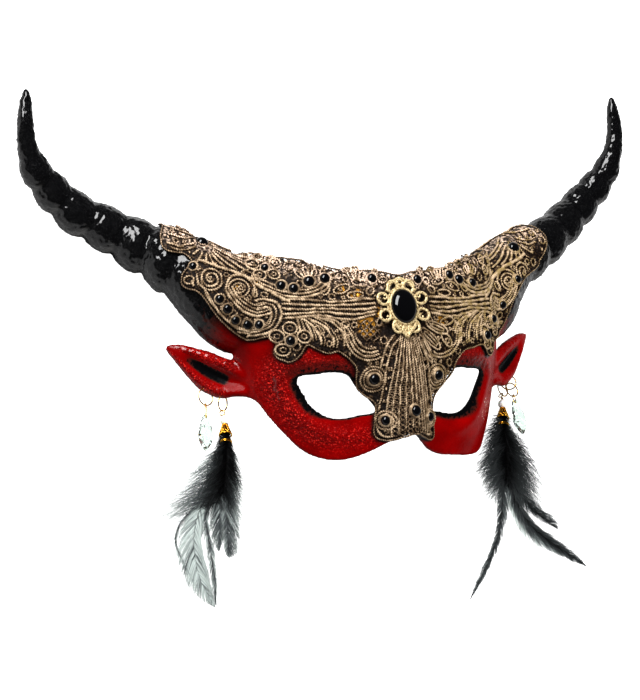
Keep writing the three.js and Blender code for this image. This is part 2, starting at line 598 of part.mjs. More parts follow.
// The dome of the brow stone, an oval standing on y = 0
function stoneGeometry() {
  const points = stoneDome.map(([r, h]) => new THREE.Vector2(r, h));
  const geometry = new THREE.LatheGeometry([new THREE.Vector2(0, 0), ...points], stone.sides);
  return geometryOf(solidOf(geometry.scale(stone.halfWide, stone.height, stone.halfTall)));
}

// The setting lies in the x y plane, its front towards +z
function settingSolid() {
  const slab = (shape, depth) => solidOf(new THREE.ExtrudeGeometry(shape, { depth, bevelEnabled: false, steps: 1 }));
  const oval = (grow) => circlePoints(0, 0, 1, stone.sides).map((p) => {
    return new THREE.Vector2(p.x * (stone.halfWide + grow), p.y * (stone.halfTall + grow));
  });
  let made = slab(new THREE.Shape(oval(setting.flange)), setting.bezel);
  for (let i = 0; i < setting.loops; i += 1) {
    const angle = (2 * Math.PI * (i + 0.5)) / setting.loops;
    const [x, y] = [setting.reach[0] * Math.cos(angle), setting.reach[1] * Math.sin(angle)];
    made = made.add(slab(ringShape(x, y, setting.loopRadius, setting.loopHole, 7), setting.plate));
  }
  made = made.add(slab(ringShape(0, setting.crest, setting.crestRadius, setting.crestHole, 6), setting.plate));
  const tail = setting.tail.map(([x, y]) => new THREE.Vector2(x, y));
  made = made.add(slab(new THREE.Shape(tail), setting.plate));
  return made.subtract(slab(new THREE.Shape(oval(seatGap)), 2 * setting.bezel).translate(0, 0, -0.5 * setting.bezel));
}

const form = new THREE.Mesh(geometryOf(skin(0)));
const bodyMesh = mesh('mask_body', geometryOf(body), 0x8c0a0c, 0.3, 0);
const laceMesh = mesh('lace_overlay', geometryOf(laceSolid()), 0x7d6544, 0.6, 0.3);
const worn = new THREE.Group();
worn.name = 'worn_frame';
worn.add(bodyMesh, laceMesh);

gems.forEach(([x, y, radius], i) => {
  worn.add(seated(mesh(`gem_${i + 1}`, gemGeometry(radius), 0x0b0b0d, 0.08, 0), x, y, radius));
});

const brow = new THREE.Group();
brow.position.copy(frontOf(form, ...stone.at));
brow.quaternion.setFromUnitVectors(point(0, 0, 1), facing(form, ...stone.at, stone.halfTall));
const stoneMesh = mesh('brow_stone', stoneGeometry(), 0x050506, 0.05, 0);
stoneMesh.rotation.x = Math.PI / 2;
stoneMesh.position.z = setting.rise;
const settingMesh = mesh('stone_setting', geometryOf(settingSolid()), 0xcdbb8a, 0.35, 0.8);
settingMesh.position.z = setting.rise;
brow.add(stoneMesh, settingMesh);
worn.add(brow);

worn.rotation.x = rad(lyingTilt);
worn.position.z = -restLevel;

// Everything that hangs from one ear's hoops
function dropPieces(side) {
  const drop = drops[side];
  const [top, mouth] = drop.feathers.map((p) => point(...p));
  const along = mouth.clone().sub(top).normalize();
  const at = (length) => top.clone().addScaledVector(along, length);

  const glassLine = drop.crystal.map((p) => point(...p));
  const glass = turned([[0, 0], ...crystal.outline, [0, crystal.length]], 8, glassLine, crystal.flat);
  const drilled = glass.subtract(solidOf(bailGeometry(`${side}_outer`, drop.crystal, bail.wire + wireGap)));

  const inner = hoops[`${side}_inner`];
  const axes = hangingAxes(inner.hang, inner.dip);
  const eyeCentre = hoopFoot(`${side}_inner`);
  eyeCentre.addScaledVector(axes.down, loopRadius - hoopWire - loopWire - wireGap);
  const eye = new THREE.TorusGeometry(loopRadius, loopWire, 4, 9);
  eye.applyMatrix4(placement(axes.normal, axes.up, axes.normal.clone().cross(axes.up), eyeCentre));
  const pinStart = eyeCentre.clone().addScaledVector(axes.down, loopRadius);
  const rod = (radius, length) => [[0, 0], [radius, 0], [radius, length], [0, length]];
  const pinLine = [pinStart, at(2 * pearlRadius + pin.reach)];
  const pinLength = pinLine[0].distanceTo(pinLine[1]);
  const shank = turned(rod(loopWire, pinLength), 5, pinLine, 1);
  const bore = turned(rod(loopWire + wireGap, pinLength + loopRadius), 5, pinLine, 1);

  const ball = [0, 36, 72, 108, 144, 180].map((turn) => {
    return [pearlRadius * Math.sin(rad(turn)), pearlRadius * (1 - Math.cos(rad(turn)))];
  });
  const pearl = turned(ball.map(([r, h], i) => [i % 5 ? r : 0, h]), 8, [top, mouth], 1).subtract(bore);
  const capLine = [at(2 * pearlRadius + pin.gap), at(capReach)];
  const cone = [
    [0, 0], [cap.top, 0], [cap.mouth, cap.length], [cap.mouth - cap.wall, cap.length], [cap.top - 0.1, 1], [0, 1],
  ];
  const ring = new THREE.TorusGeometry(band.radius, loopWire, 4, 12);
  const across = along.clone().cross(point(0, 0, 1)).normalize();
  const ringCentre = at(2 * pearlRadius + cap.length + band.below);
  ring.applyMatrix4(placement(across, along.clone().cross(across), along, ringCentre));
  return {
    bail: [solidOf(bailGeometry(`${side}_outer`, drop.crystal, bail.wire)), 0xc9a86a, 0.25, 1],
    crystal: [drilled, 0xdfe8e2, 0.02, 0],
    hanger: [solidOf(eye).add(shank), 0xc9a86a, 0.25, 1],
    pearl: [pearl, 0xe9e6df, 0.15, 0],
    cap: [turned(cone, 9, capLine, 1).subtract(bore), 0xd9a520, 0.25, 1],
    band: [solidOf(ring), 0xd9a520, 0.25, 1],
    feathers: [plumes[side].map(plumeSolid).reduce((all, plume) => all.add(plume)), 0x1a1c1d, 0.9, 0],
  };
}

const lying = new THREE.Group();
lying.add(worn);
for (const name of Object.keys(hoops)) {
  lying.add(mesh(`hoop_${name}`, hoopGeometry(name, hoopWire, 14), 0xc9a86a, 0.25, 1));
}
for (const side of ['left', 'right']) {
  for (const [name, [solid, ...finish]] of Object.entries(dropPieces(side))) {
    lying.add(mesh(`${name}_${side}`, geometryOf(solid), ...finish));
  }
}

// The origin is under the middle of the whole piece
const reach = new THREE.Box3().setFromObject(lying, true);
lying.position.set(-(reach.min.x + reach.max.x) / 2, -(reach.min.y + reach.max.y) / 2, 0);
const mask = new THREE.Group();
mask.add(lying);
export default mask;
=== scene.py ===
# Devil half mask lying on its back: red and black lacquered shell with horns and ears,
# a bronze lace overlay set with black stones, a brow stone, and feather earrings.
import math

import bmesh
import bpy
import numpy as np
from mathutils import Matrix, Vector, noise
from mathutils.bvhtree import BVHTree
from mathutils.kdtree import KDTree


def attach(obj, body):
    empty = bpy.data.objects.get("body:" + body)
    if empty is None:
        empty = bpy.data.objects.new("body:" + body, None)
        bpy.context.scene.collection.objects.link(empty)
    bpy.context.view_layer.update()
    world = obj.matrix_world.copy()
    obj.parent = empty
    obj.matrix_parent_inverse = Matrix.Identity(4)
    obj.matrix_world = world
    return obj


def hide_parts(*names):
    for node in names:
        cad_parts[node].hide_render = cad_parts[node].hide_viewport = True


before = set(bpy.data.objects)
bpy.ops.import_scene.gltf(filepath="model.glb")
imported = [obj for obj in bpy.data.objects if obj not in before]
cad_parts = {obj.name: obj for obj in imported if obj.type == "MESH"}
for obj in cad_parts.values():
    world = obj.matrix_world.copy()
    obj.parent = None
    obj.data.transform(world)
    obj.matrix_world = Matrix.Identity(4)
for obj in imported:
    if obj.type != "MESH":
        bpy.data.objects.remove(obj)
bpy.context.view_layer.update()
random = np.random.default_rng(7)

# The mask is drawn as worn, in millimetres: x to the viewer's right, y up, z out of the face.
# It then leans back by tilt and moves by shift onto the level that it lies on.
lying = {"tilt": 27.8, "shift": (-1.516, 2.629, 62.2)}
tilt = math.radians(lying["tilt"])
leaning = np.array([[1, 0, 0], [0, math.cos(tilt), -math.sin(tilt)], [0, math.sin(tilt), math.cos(tilt)]])


def laid(points):
    # from the mask as worn to its place in the scene, in metres
    return (np.asarray(points, float) @ leaning.T + lying["shift"]) / 1000


def asWorn(points):
    return (np.asarray(points, float) * 1000 - lying["shift"]) @ leaning


def inMetres(points):
    return np.asarray(points) / 1000


def unit(vectors):
    # each vector at length 1
    return vectors / np.maximum(np.linalg.norm(vectors, axis=-1, keepdims=True), 1e-9)


def pointing(degrees):
    angle = math.radians(degrees)
    return np.array([math.cos(angle), math.sin(angle)])


def smoothstep(low, high, value):
    t = np.clip((value - low) / (high - low), 0, 1)
    return t * t * (3 - 2 * t)


def profile(pairs):
    # a smooth curve through a short table of pairs, with straight ends
    xs, ys = np.array(pairs, float).T
    last = len(xs) - 1

    def at(value):
        value = np.asarray(value, float)
        i = np.clip(np.searchsorted(xs, value, side="right"), 1, last)
        before = np.where(i > 1, i - 2, i)
        after = np.where(i < last, np.minimum(i + 1, last), i - 1)
        half = (xs[i] - xs[i - 1]) / 2
        w0, w1 = half / (xs[i - 1] - xs[before]), half / (xs[after] - xs[i])
        p = (np.clip(value, xs[0], xs[-1]) - xs[i - 1]) / (xs[i] - xs[i - 1])
        p2, p3 = p * p, p * p * p
        return ((-w0 * p3 + 2 * w0 * p2 - w0 * p) * ys[before]
                + ((1 + w0) * p3 + (-1.5 - 2 * w0) * p2 + (w0 - 0.5) * p + 1) * ys[i - 1]
                + ((-1 - w1) * p3 + (1.5 + w1) * p2 + 0.5 * p) * ys[i]
                + (w1 * p3 - w1 * p2) * ys[after])
    return at


def smoothLine(points, steps, closed=False):
    # a centripetal curve through points, with the same number of steps in each span
    pts = np.array(points, float)
    if closed:
        pts = np.concatenate([pts[-1:], pts, pts[:2]])
    else:
        pts = np.concatenate([[2 * pts[0] - pts[1]], pts, [2 * pts[-1] - pts[-2]]])
    made = []
    for a, b, c, d in zip(pts, pts[1:], pts[2:], pts[3:]):
        d0, d1, d2 = (max(np.linalg.norm(q - p), 1e-6) ** 0.5 for p, q in ((a, b), (b, c), (c, d)))
        m0 = ((b - a) / d0 - (c - a) / (d0 + d1) + (c - b) / d1) * d1
        m1 = ((c - b) / d1 - (d - b) / (d1 + d2) + (d - c) / d2) * d1
        t = np.linspace(0, 1, steps, endpoint=False)[:, None]
        made.append(b + m0 * t + (3 * (c - b) - 2 * m0 - m1) * t ** 2 + (2 * (b - c) + m0 + m1) * t ** 3)
    if not closed:
        made.append(pts[-2:-1])
    return np.concatenate(made)


def evenly(line, spacing, closed=False):
    # the line again, at even steps; also the distance along it
    if closed:
        line = np.concatenate([line, line[:1]])
    run = np.concatenate([[0], np.cumsum(np.linalg.norm(np.diff(line, axis=0), axis=1))])
    count = max(3, int(round(run[-1] / spacing)) + 1)
    at = np.linspace(0, run[-1], count)
    return np.stack([np.interp(at, run, line[:, k]) for k in range(line.shape[1])], 1), at


def addSheet(bm, columns, rows, place):
    # a sheet in bm: place() turns the shares across and up it, from 0 to 1, into points
    made = bmesh.ops.create_grid(bm, x_segments=columns, y_segments=rows, size=0.5)["verts"]
    share = np.array([v.co[:] for v in made]) + 0.5
    for vert, co in zip(made, place(share[:, 0], share[:, 1])):
        vert.co = co


def sheetMesh(columns, rows, place):
    bm = bmesh.new()
    addSheet(bm, columns, rows, place)
    return bm


def slabMesh(columns, rows, front, back):
    # a closed slab between two such sheets, which share their rims
    bm = bmesh.new()
    bmesh.ops.create_grid(bm, x_segments=columns, y_segments=rows, size=0.5)
    layer = bm.verts.layers.float_vector.new("share")
    for vert in bm.verts:
        vert[layer] = vert.co + Vector((0.5, 0.5, 0))
    made = bmesh.ops.extrude_face_region(bm, geom=list(bm.faces), use_keep_orig=True)
    behind = {v for v in made["geom"] if isinstance(v, bmesh.types.BMVert)}
    for verts, place in (([v for v in bm.verts if v not in behind], front), (list(behind), back)):
        share = np.array([v[layer][:] for v in verts])
        for vert, co in zip(verts, place(share[:, 0], share[:, 1])):
            vert.co = co
    bmesh.ops.recalc_face_normals(bm, faces=bm.faces)
    return bm


def sealed(bm):
    # seams merged, open ends filled, faces outwards
    bmesh.ops.remove_doubles(bm, verts=bm.verts, dist=1e-3)
    bmesh.ops.holes_fill(bm, edges=[e for e in bm.edges if e.is_boundary], sides=0)
    bmesh.ops.recalc_face_normals(bm, faces=bm.faces)
    return bm


def tubeMesh(sides, rings, place):
    # a closed tube: place() gets the share round it and the share along it
    return sealed(sheetMesh(sides, rings, place))


def toObject(bm, name, place=None):
    # the bmesh as an object, with its corners moved by place()
    mesh = bpy.data.meshes.new(name)
    if place is not None:
        for vert, co in zip(bm.verts, place(np.array([v.co[:] for v in bm.verts]))):
            vert.co = co
    for face in bm.faces:
        face.smooth = True
    bm.to_mesh(mesh)
    bm.free()
    obj = bpy.data.objects.new(name, mesh)
    bpy.context.scene.collection.objects.link(obj)
    return obj


def merged(parts):
    # several bmeshes as one, the first ones freed
    whole = bmesh.new()
    for part in parts:
        mesh = bpy.data.meshes.new("part")
        part.to_mesh(mesh)
        part.free()
        whole.from_mesh(mesh)
        bpy.data.meshes.remove(mesh)
    return whole


def applied(obj, kind, **values):
    # adds a modifier and bakes its result into the mesh
    modifier = obj.modifiers.new(kind.lower(), kind)
    for name, value in values.items():
        setattr(modifier, name, value)
    baked = bpy.data.meshes.new_from_object(obj.evaluated_get(bpy.context.evaluated_depsgraph_get()))
    obj.modifiers.clear()
    old, obj.data = obj.data, baked
    bpy.data.meshes.remove(old)
    return obj


def vertexArray(mesh, name="co"):
    rows = np.empty(len(mesh.vertices) * 3)
    mesh.vertices.foreach_get(name, rows)
    return rows.reshape(-1, 3)


def setVertices(mesh, points):
    mesh.vertices.foreach_set("co", np.asarray(points, float).ravel())
    mesh.update()


def addValues(mesh, name, values):
    mesh.attributes.new(name, "FLOAT", "POINT").data.foreach_set("value", np.asarray(values, float))


def valuesOf(mesh, name):
    values = np.empty(len(mesh.vertices))
    mesh.attributes[name].data.foreach_get("value", values)
    return values


def nearTree(points):
    tree = KDTree(len(points))
    for k, point in enumerate(points):
        tree.insert(point, k)
    tree.balance()
    return tree


def finished(obj, material, slotName, *nodes):
    # gives a piece its look and the solids that it stands in for
    points = vertexArray(obj.data)
    points[:, 2] = np.maximum(points[:, 2], 0)  # nothing reaches below the floor
    setVertices(obj.data, points)
    obj.data.materials.clear()
    obj.data.materials.append(material)
    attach(obj, "root")
    if nodes:
        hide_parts(*nodes)
    return obj


# The mask's form, as in the solids
face = {
    "depth": 49, "wall": 3, "edgeTurn": 80, "edgeReach": 79, "spread": 0.75,
    "halfWidths": [(-85, 71), (-70, 73), (-50, 76.5), (-28, 79.5), (-10, 80), (40, 80)],
    "browLine": [(-95, -5), (-79, -2), (-55, -0.5), (-36, 0), (-20, -1), (0, -4), (14, -9), (40, -24)],
    "noseRise": [(-80, 12), (-65, 11), (-53, 8.7), (-36, 5.5), (-17, 2.2), (0, 0), (20, 0)],
    "noseHalfWidth": 10,
    "lowerEdge": [
        (-79, -46), (-76.5, -46.6), (-72.3, -49.3), (-69, -56.3), (-64.1, -64.3), (-57.2, -72.5),
        (-49, -77.1), (-38.5, -79), (-27.5, -77.5), (-17.3, -73.6), (-9.5, -68.8), (1, -64.7),
        (11.2, -69), (18.2, -74.9), (25.9, -78.1), (38.2, -79.6), (53, -81), (62, -80.6), (67.5, -77),
        (70.5, -68), (73, -57), (76.5, -48.6), (79, -46)],
    "upperEdge": [
        (-79, 22), (-68, 24), (-48, 20.5), (-38, 17.5), (-22, 16.2), (0, 13.8), (22, 14.5), (38, 17.5),
        (48, 21), (64, 24), (79, 21)],
    "forms": [((34, -45), -3.4, 23, 13), ((46, -19), 2, 20, 8), ((57, -62), 1.6, 16, 13)],
    "columns": 230, "rows": 110, "hollowColumns": 56, "hollowRows": 28, "hollowGrow": 6, "behind": -110,
    "voxel": 0.98, "quickVoxel": 1.5,
}
eye = {
    "outline": [
        (53, -36.6), (45.5, -35), (37, -34), (29.6, -35.4), (24.9, -41.5), (19, -47.4), (15.5, -53.6),
        (23, -55.3), (31, -56.8), (38.5, -56.2), (45.5, -51.6), (50.4, -44)],
    "centre": (34, -45), "flare": 0.03, "back": 5, "front": 15,  # the cut opens forwards by flare
    "lid": 1.1, "lidAt": 8.5, "lidWide": 3.6, "lidFrom": (20, 44),  # swollen rim round the outer side
}
horn = {
    "left": [
        (-46, -8, -40, 16), (-60, -5, -42, 21), (-73, -1.5, -46, 23.5), (-86, 8.5, -52, 20.8),
        (-100, 21.2, -62, 16), (-116, 30.4, -72.8, 12.4), (-129.5, 38.2, -77.8, 10.7),
        (-147.3, 47.5, -81, 9.6), (-160.9, 59.4, -82, 8.4), (-170.2, 70.1, -80, 6.9),
        (-175, 81, -78, 5.3), (-176.4, 92, -77, 4.3), (-176, 103, -77.5, 3.3), (-175.4, 111, -78, 1.3)],
    "right": [
        (46, -8, -40, 16), (60, -5, -42, 21), (73, -1, -46, 22.5), (86, 8.5, -53, 18.8),
        (102.3, 19, -62, 14.8), (123.3, 26.8, -71, 12), (138.9, 35.4, -76, 10.6),
        (153.4, 45.2, -81, 9.6), (165.4, 56.4, -82, 8.5), (173.6, 66.8, -80, 7.1),
        (178.2, 80, -77.5, 5.4), (179.1, 91.3, -77, 4.4), (178, 103, -77.5, 3.4),
        (177.3, 111.3, -78, 1.3)],
    "leftGrooves": [66, 84, 101, 118.5, 136, 151, 166],
    "rightGrooves": [72, 91, 110, 128, 144, 157, 169.5],
    "rootDepth": [(0, 0.68), (28, 0.72), (46, 0.84), (66, 0.97), (80, 1), (210, 1)], "ribDepth": 0.29,
    "ribMiddle": 0.5, "ribUnder": 0.3, "ribLean": 0.14, "sides": 84, "rings": 330, "knobs": 0.5,
    "knobSize": 2.2, "tip": 2.2, "tipShare": 0.12,
}
ear = {
    "low": (77.3, -47.1, -37.5), "top": (79.2, -26.8, -40.4), "tip": (106.5, -20.7, -57),
    "upper": [(-9, 5), (-4, 6.6), (5, 7.4), (16, 6.8), (24, 5.2), (33, 3), (38, 0.4)],
    "lower": [
        (-9, -6.5), (-4, -9), (0.2, -12.1), (7.5, -13.4), (14, -13), (23.4, -9.4), (32.2, -5.4),
        (38, -2.4)],
    "thick": [(-9, 6), (0, 6.5), (14, 6), (28, 4.6), (38, 2.6)],
    "concha": [(-9, 1), (0, 3.6), (12, 3.8), (24, 1.6), (30, 0), (38, 0)],
    "hollow": 0.42, "front": 0.6, "back": 0.12, "backRound": 0.3, "columns": 60, "rows": 44,
    "rim": (0.5, 0.68, 0.16), "rimFade": (38, 24),  # raised rim: height, place across, width
}
halfWidthAt, browAt, noseAt = (profile(face[k]) for k in ("halfWidths", "browLine", "noseRise"))
lowerEdgeAt, upperEdgeAt = profile(face["lowerEdge"]), profile(face["upperEdge"])
eyeLine = smoothLine(eye["outline"], 8, True)


def outlineDistance(points, line, closed=True):
    # distance from each 2-D point to a line of points, and the nearest place on it
    ends = np.roll(line, -1, axis=0) if closed else line[1:]
    starts = line if closed else line[:-1]
    best = np.full(len(points), 1e9)
    place = np.zeros((len(points), 2))
    for a, b in zip(starts, ends):
        along = b - a
        t = np.clip(((points - a) @ along) / max(along @ along, 1e-9), 0, 1)
        near = a + t[:, None] * along
        d = np.hypot(*(points - near).T)
        closer = d < best
        best[closer] = d[closer]
        place[closer] = near[closer]
    return best, place


def insideOutline(points, line):
    x, y = points.T
    inside = np.zeros(len(points), bool)
    for (ax, ay), (bx, by) in zip(line, np.roll(line, -1, axis=0)):
        if ay != by:
            inside ^= ((ay > y) != (by > y)) & (x < ax + (y - ay) * (bx - ax) / (by - ay))
    return inside


def facePoint(t, y):
    # front of the bare face at a turn of t radians round the head
    x = halfWidthAt(y) * np.sin(t)
    side = np.abs(x)
    nose = noseAt(y) * np.exp(-((x / face["noseHalfWidth"]) ** 2))
    z = face["depth"] * (np.cos(t) - 1) + browAt(y) + nose
    for (cx, cy), height, wide, tall in face["forms"]:
        z = z + height * np.exp(-(((side - cx) / wide) ** 2) - ((y - cy) / tall) ** 2)
    return np.stack([x, y, z], -1)


def faceOffset(t, y, offset):
    step = 0.02
    across = facePoint(t + step, y) - facePoint(t - step, y)
    along = facePoint(t, y + step) - facePoint(t, y - step)
    return facePoint(t, y) + np.asarray(offset)[..., None] * unit(np.cross(across, along))


def faceSheet(offset, grow):
    # the face moved out by offset and wider by grow all round, or flat behind it where offset is None
    def place(i, j):
        i = i - 0.5
        turn = math.radians(face["edgeTurn"]) + grow / face["edgeReach"]
        t = 2 * i * turn * (face["spread"] + 4 * (1 - face["spread"]) * i * i)
        x = face["edgeReach"] * np.sin(t)
        low, high = lowerEdgeAt(x) - grow, upperEdgeAt(x) + grow
        y = low + (high - low) * j
        if offset is None:
            return np.stack([x, y, np.full_like(x, face["behind"])], -1)
        lift = np.full_like(x, float(offset))
        if offset == 0:
            flat = facePoint(t, y)[:, :2]
            flat[:, 0] = np.abs(flat[:, 0])
            distance = outlineDistance(flat, eyeLine)[0]
            outer = smoothstep(*eye["lidFrom"], np.abs(x) - 0.5 * (y + 56))
            lift = lift + eye["lid"] * np.exp(-(((distance - eye["lidAt"]) / eye["lidWide"]) ** 2)) * outer
        return faceOffset(t, y, lift)
    return place


def eyeCutter(side):
    # a plug through one eye opening
    line = eyeLine * [side, 1]

    def place(i, j):
        at = line[(np.round(i * len(line)).astype(int)) % len(line)]
        depth = np.where(j > 0.5, -eye["back"], float(eye["front"]))
        front = facePoint(np.arcsin(at[:, 0] / halfWidthAt(at[:, 1])), at[:, 1])[:, 2]
        size = (1 + eye["flare"] * depth)[:, None]
        middle = np.array([side * eye["centre"][0], eye["centre"][1]])
        return np.concatenate([middle + (at - middle) * size, (front - depth)[:, None]], 1)
    return tubeMesh(len(line), 1, place)


def hornLine(side):
    # the middle line of a horn, the distance along it, and its radius by that distance
    table = np.array(horn[side], float)
    line = smoothLine(table[:, :3], 32)
    run = np.concatenate([[0], np.cumsum(np.linalg.norm(np.diff(line, axis=0), axis=1))])
    radius = profile(np.stack([run[:: 32], table[:, 3]], 1))
    return line, run, radius


def hornMesh(side):
    # one ribbed horn
    line, run, radiusAt = hornLine(side)
    grooves = np.array(horn[side + "Grooves"], float)
    depthAt = profile(horn["rootDepth"])
    sign = -1 if side == "left" else 1

    def place(i, j):
        at = j * run[-1]
        centre, ahead, back = (
            np.stack([np.interp(np.clip(at + step, 0, run[-1]), run, line[:, k]) for k in range(3)], 1)
            for step in (0, 0.5, -0.5))
        tangent = unit(ahead - back)
        level = unit(np.cross(tangent, [0, 0, 1]))
        out = np.cross(level, tangent)
        angle = 2 * np.pi * i
        down = np.cos(angle) * sign
        k = np.clip(np.searchsorted(grooves, at, side="right") - 1, 0, len(grooves) - 2)
        share = np.clip((at - grooves[k]) / (grooves[k + 1] - grooves[k]), 0, 1)
        ribbed = (at >= grooves[0]) & (at < grooves[-1])
        rib = np.where(ribbed, np.sqrt(np.sin(np.pi * share) + 1e-9) - horn["ribMiddle"], 0)
        radius = radiusAt(at) * (1 + horn["ribDepth"] * rib * (1 + horn["ribUnder"] * down))
        rounding = np.sqrt(np.clip((run[-1] - at) / horn["tip"], 0, 1))
        radius = radius * np.minimum(1, rounding + horn["tipShare"])
        depth = radius * depthAt(at)
        centre = centre + level * (radius * np.cos(angle))[:, None] + out * (depth * np.sin(angle))[:, None]
        return centre - tangent * (horn["ribLean"] * radius * down)[:, None]
    return tubeMesh(horn["sides"], horn["rings"], place)


def earAxes(side):
    # where an ear leaves the face, and its ways to the tip, across and out
    low, top, tip = (np.array(ear[k], float) for k in ("low", "top", "tip"))
    base = (low + top) / 2
    along = unit(tip - base)
    across = unit((top - low) - along * ((top - low) @ along))
    out = np.cross(along, across)
    out *= np.sign(out[2])
    flip = np.array([side, 1, 1])
    return base * flip, along * flip, across * flip, out * flip


def earMesh(side):
    base, along, across, out = earAxes(side)
    upper, lower, thick, concha = (profile(ear[k]) for k in ("upper", "lower", "thick", "concha"))
    root, end = ear["upper"][0][0], ear["upper"][-1][0]
    rimHeight, rimAt, rimWide = ear["rim"]

    def sheet(isFront):
        def place(i, j):
            u = root + (end - root) * i
            s = np.sin((j - 0.5) * np.pi)  # rows closer together at the rims
            middle, half = (upper(u) + lower(u)) / 2, (upper(u) - lower(u)) / 2
            bulge = np.sqrt(np.maximum(0, 1 - s * s))
            if isFront:
                dip = concha(u) * np.exp(-((s / ear["hollow"]) ** 2))
                rise = thick(u) * 0.5 * bulge - dip + ear["front"]
                rim = np.exp(-(((np.abs(s) - rimAt) / rimWide) ** 2))
                rise = rise + rimHeight * rim * smoothstep(*ear["rimFade"], u)
            else:
                rise = -thick(u) * (ear["back"] + ear["backRound"] * bulge)
            return base + u[:, None] * along + (middle + half * s)[:, None] * across + rise[:, None] * out
        return place
    return slabMesh(ear["columns"], ear["rows"], sheet(True), sheet(False))


def moulded():
    # the shell with its eye openings, and the horns and ears cut away inside it, as one skin
    wall, grow = face["wall"], face["hollowGrow"]
    shell = toObject(slabMesh(face["columns"], face["rows"], faceSheet(0, 0), faceSheet(-wall, 0)), "shell")
    cutter = toObject(merged([eyeCutter(-1), eyeCutter(1)]), "cutter")
    applied(shell, "BOOLEAN", operation="DIFFERENCE", object=cutter, solver="EXACT")
    grown = toObject(merged([hornMesh("left"), hornMesh("right"), earMesh(-1), earMesh(1)]), "grown")
    front, back = faceSheet(-wall + 0.01, grow), faceSheet(None, grow)
    hollow = toObject(slabMesh(face["hollowColumns"], face["hollowRows"], front, back), "hollow")
    applied(grown, "BOOLEAN", operation="DIFFERENCE", object=hollow, solver="EXACT", use_self=False)
    whole = bmesh.new()
    for obj in (shell, grown):
        whole.from_mesh(obj.data)
    body = toObject(whole, "mask_shell")
    for obj in (shell, cutter, grown, hollow):
        bpy.data.objects.remove(obj)
    voxel = face["voxel"]
    applied(body, "REMESH", mode="VOXEL", voxel_size=voxel, use_smooth_shade=True)
    applied(body, "SMOOTH", factor=0.5, iterations=4)
    return body


# Paint on the shell: where it is black, where its varnish is lumpy, and how the skin is knobbed, with
# painted shade by the eyes and the lace and a painted grey reflection under the horns
paint = {
    # where the black starts and is full along a horn, and how many radii off its middle line it reaches
    "horn": {"left": (22, 50, 1.16), "right": (18, 42, 1.16)}, "hornFade": 0.12,
    "paintedReflection": (0.1, -0.9, 0.42),  # the way that the horns' undersides face, where a painted grey reflection lies on the black
    "paintedReflectionFade": (0.8, 0.95), "front": (-1.5, 0.2),  # the rim's paint fades behind the middle of the wall
    "eyeReach": 1.7, "cornerReach": 5.5, "lidReach": 1.5, "cheekReach": 3.5, "laceReach": (3, 0.4),
    # where the black parts of the eye's rim start and are full
    "corner": (36, 52), "above": (-40, -33), "below": (-50, -56),
    # painted shade in the hollow above the eyes: its share, where it fades out and where it is full; and
    # its share along the lace's edge
    "lidShade": (0.34, 13, 3), "laceShade": 0.5,
    # lumpy varnish: its distance from the eye and its width, and its share on cheek, lid and ears
    "lumps": (11, 6), "cheekLumps": 0.8, "lidLumps": (6, 5, 0.55), "earLumps": {-1: 0.7, 1: 0.2},
    "lumpHeight": 0.34, "finer": (0.6, 0.45),  # strength and size of the finer knobs
    # black in an ear by the share of its half width, by the way along it and by the way out of it
    "earBlack": (0.36, 0.12), "earBlackFrom": (0, 5), "earBlackTo": (29, 18), "earFront": (-2.5, -1),
    "earRim": (0.3, 0.6), "earRimFrom": (-2, 3), "earReach": (1.3, 40, 8),  # across, along and out
}


def hornValues(points):
    # share of black paint along the horns, from the nearest place on their middle lines
    black = np.zeros(len(points))
    for side, sign in (("left", -1), ("right", 1)):
        line, run, radiusAt = hornLine(side)
        tree = nearTree(line)
        low, high, reach = paint["horn"][side]
        chosen = np.flatnonzero(points[:, 0] * sign > 50)
        found = [tree.find(points[k])[1:] for k in chosen]
        at = run[[k for k, distance in found]]
        thick = np.array([distance for k, distance in found]) / radiusAt(at)
        black[chosen] = smoothstep(low, high, at) * smoothstep(reach + paint["hornFade"], reach, thick)
    return black


def inFront(points):
    # how far in front of the middle of the shell's wall a point of the face is
    x, y = points[:, 0], points[:, 1]
    t = np.arcsin(np.clip(x / halfWidthAt(y), -0.98, 0.98))
    return points[:, 2] - facePoint(t, y)[:, 2] + face["wall"] * 0.5


def earValues(points, side):
    # black hollow of one ear, and the lumps on its rim
    base, along, across, out = earAxes(side)
    local = points - base
    u, v, w = local @ along, local @ across, local @ out
    upper, lower = profile(ear["upper"])(u), profile(ear["lower"])(u)
    share = np.abs((v - (upper + lower) / 2) / np.maximum((upper - lower) / 2, 0.5))
    widest, longest, deepest = paint["earReach"]
    isNear = np.abs(w) < deepest
    hollow = smoothstep(*paint["earBlack"], share) * smoothstep(*paint["earBlackFrom"], u)
    hollow = hollow * smoothstep(*paint["earBlackTo"], u) * smoothstep(*paint["earFront"], w)
    rim = smoothstep(*paint["earRim"], share) * smoothstep(*paint["earRimFrom"], u)
    rim = rim * isNear * (share < widest) * (u < longest)
    return hollow * isNear, paint["earLumps"][side] * rim


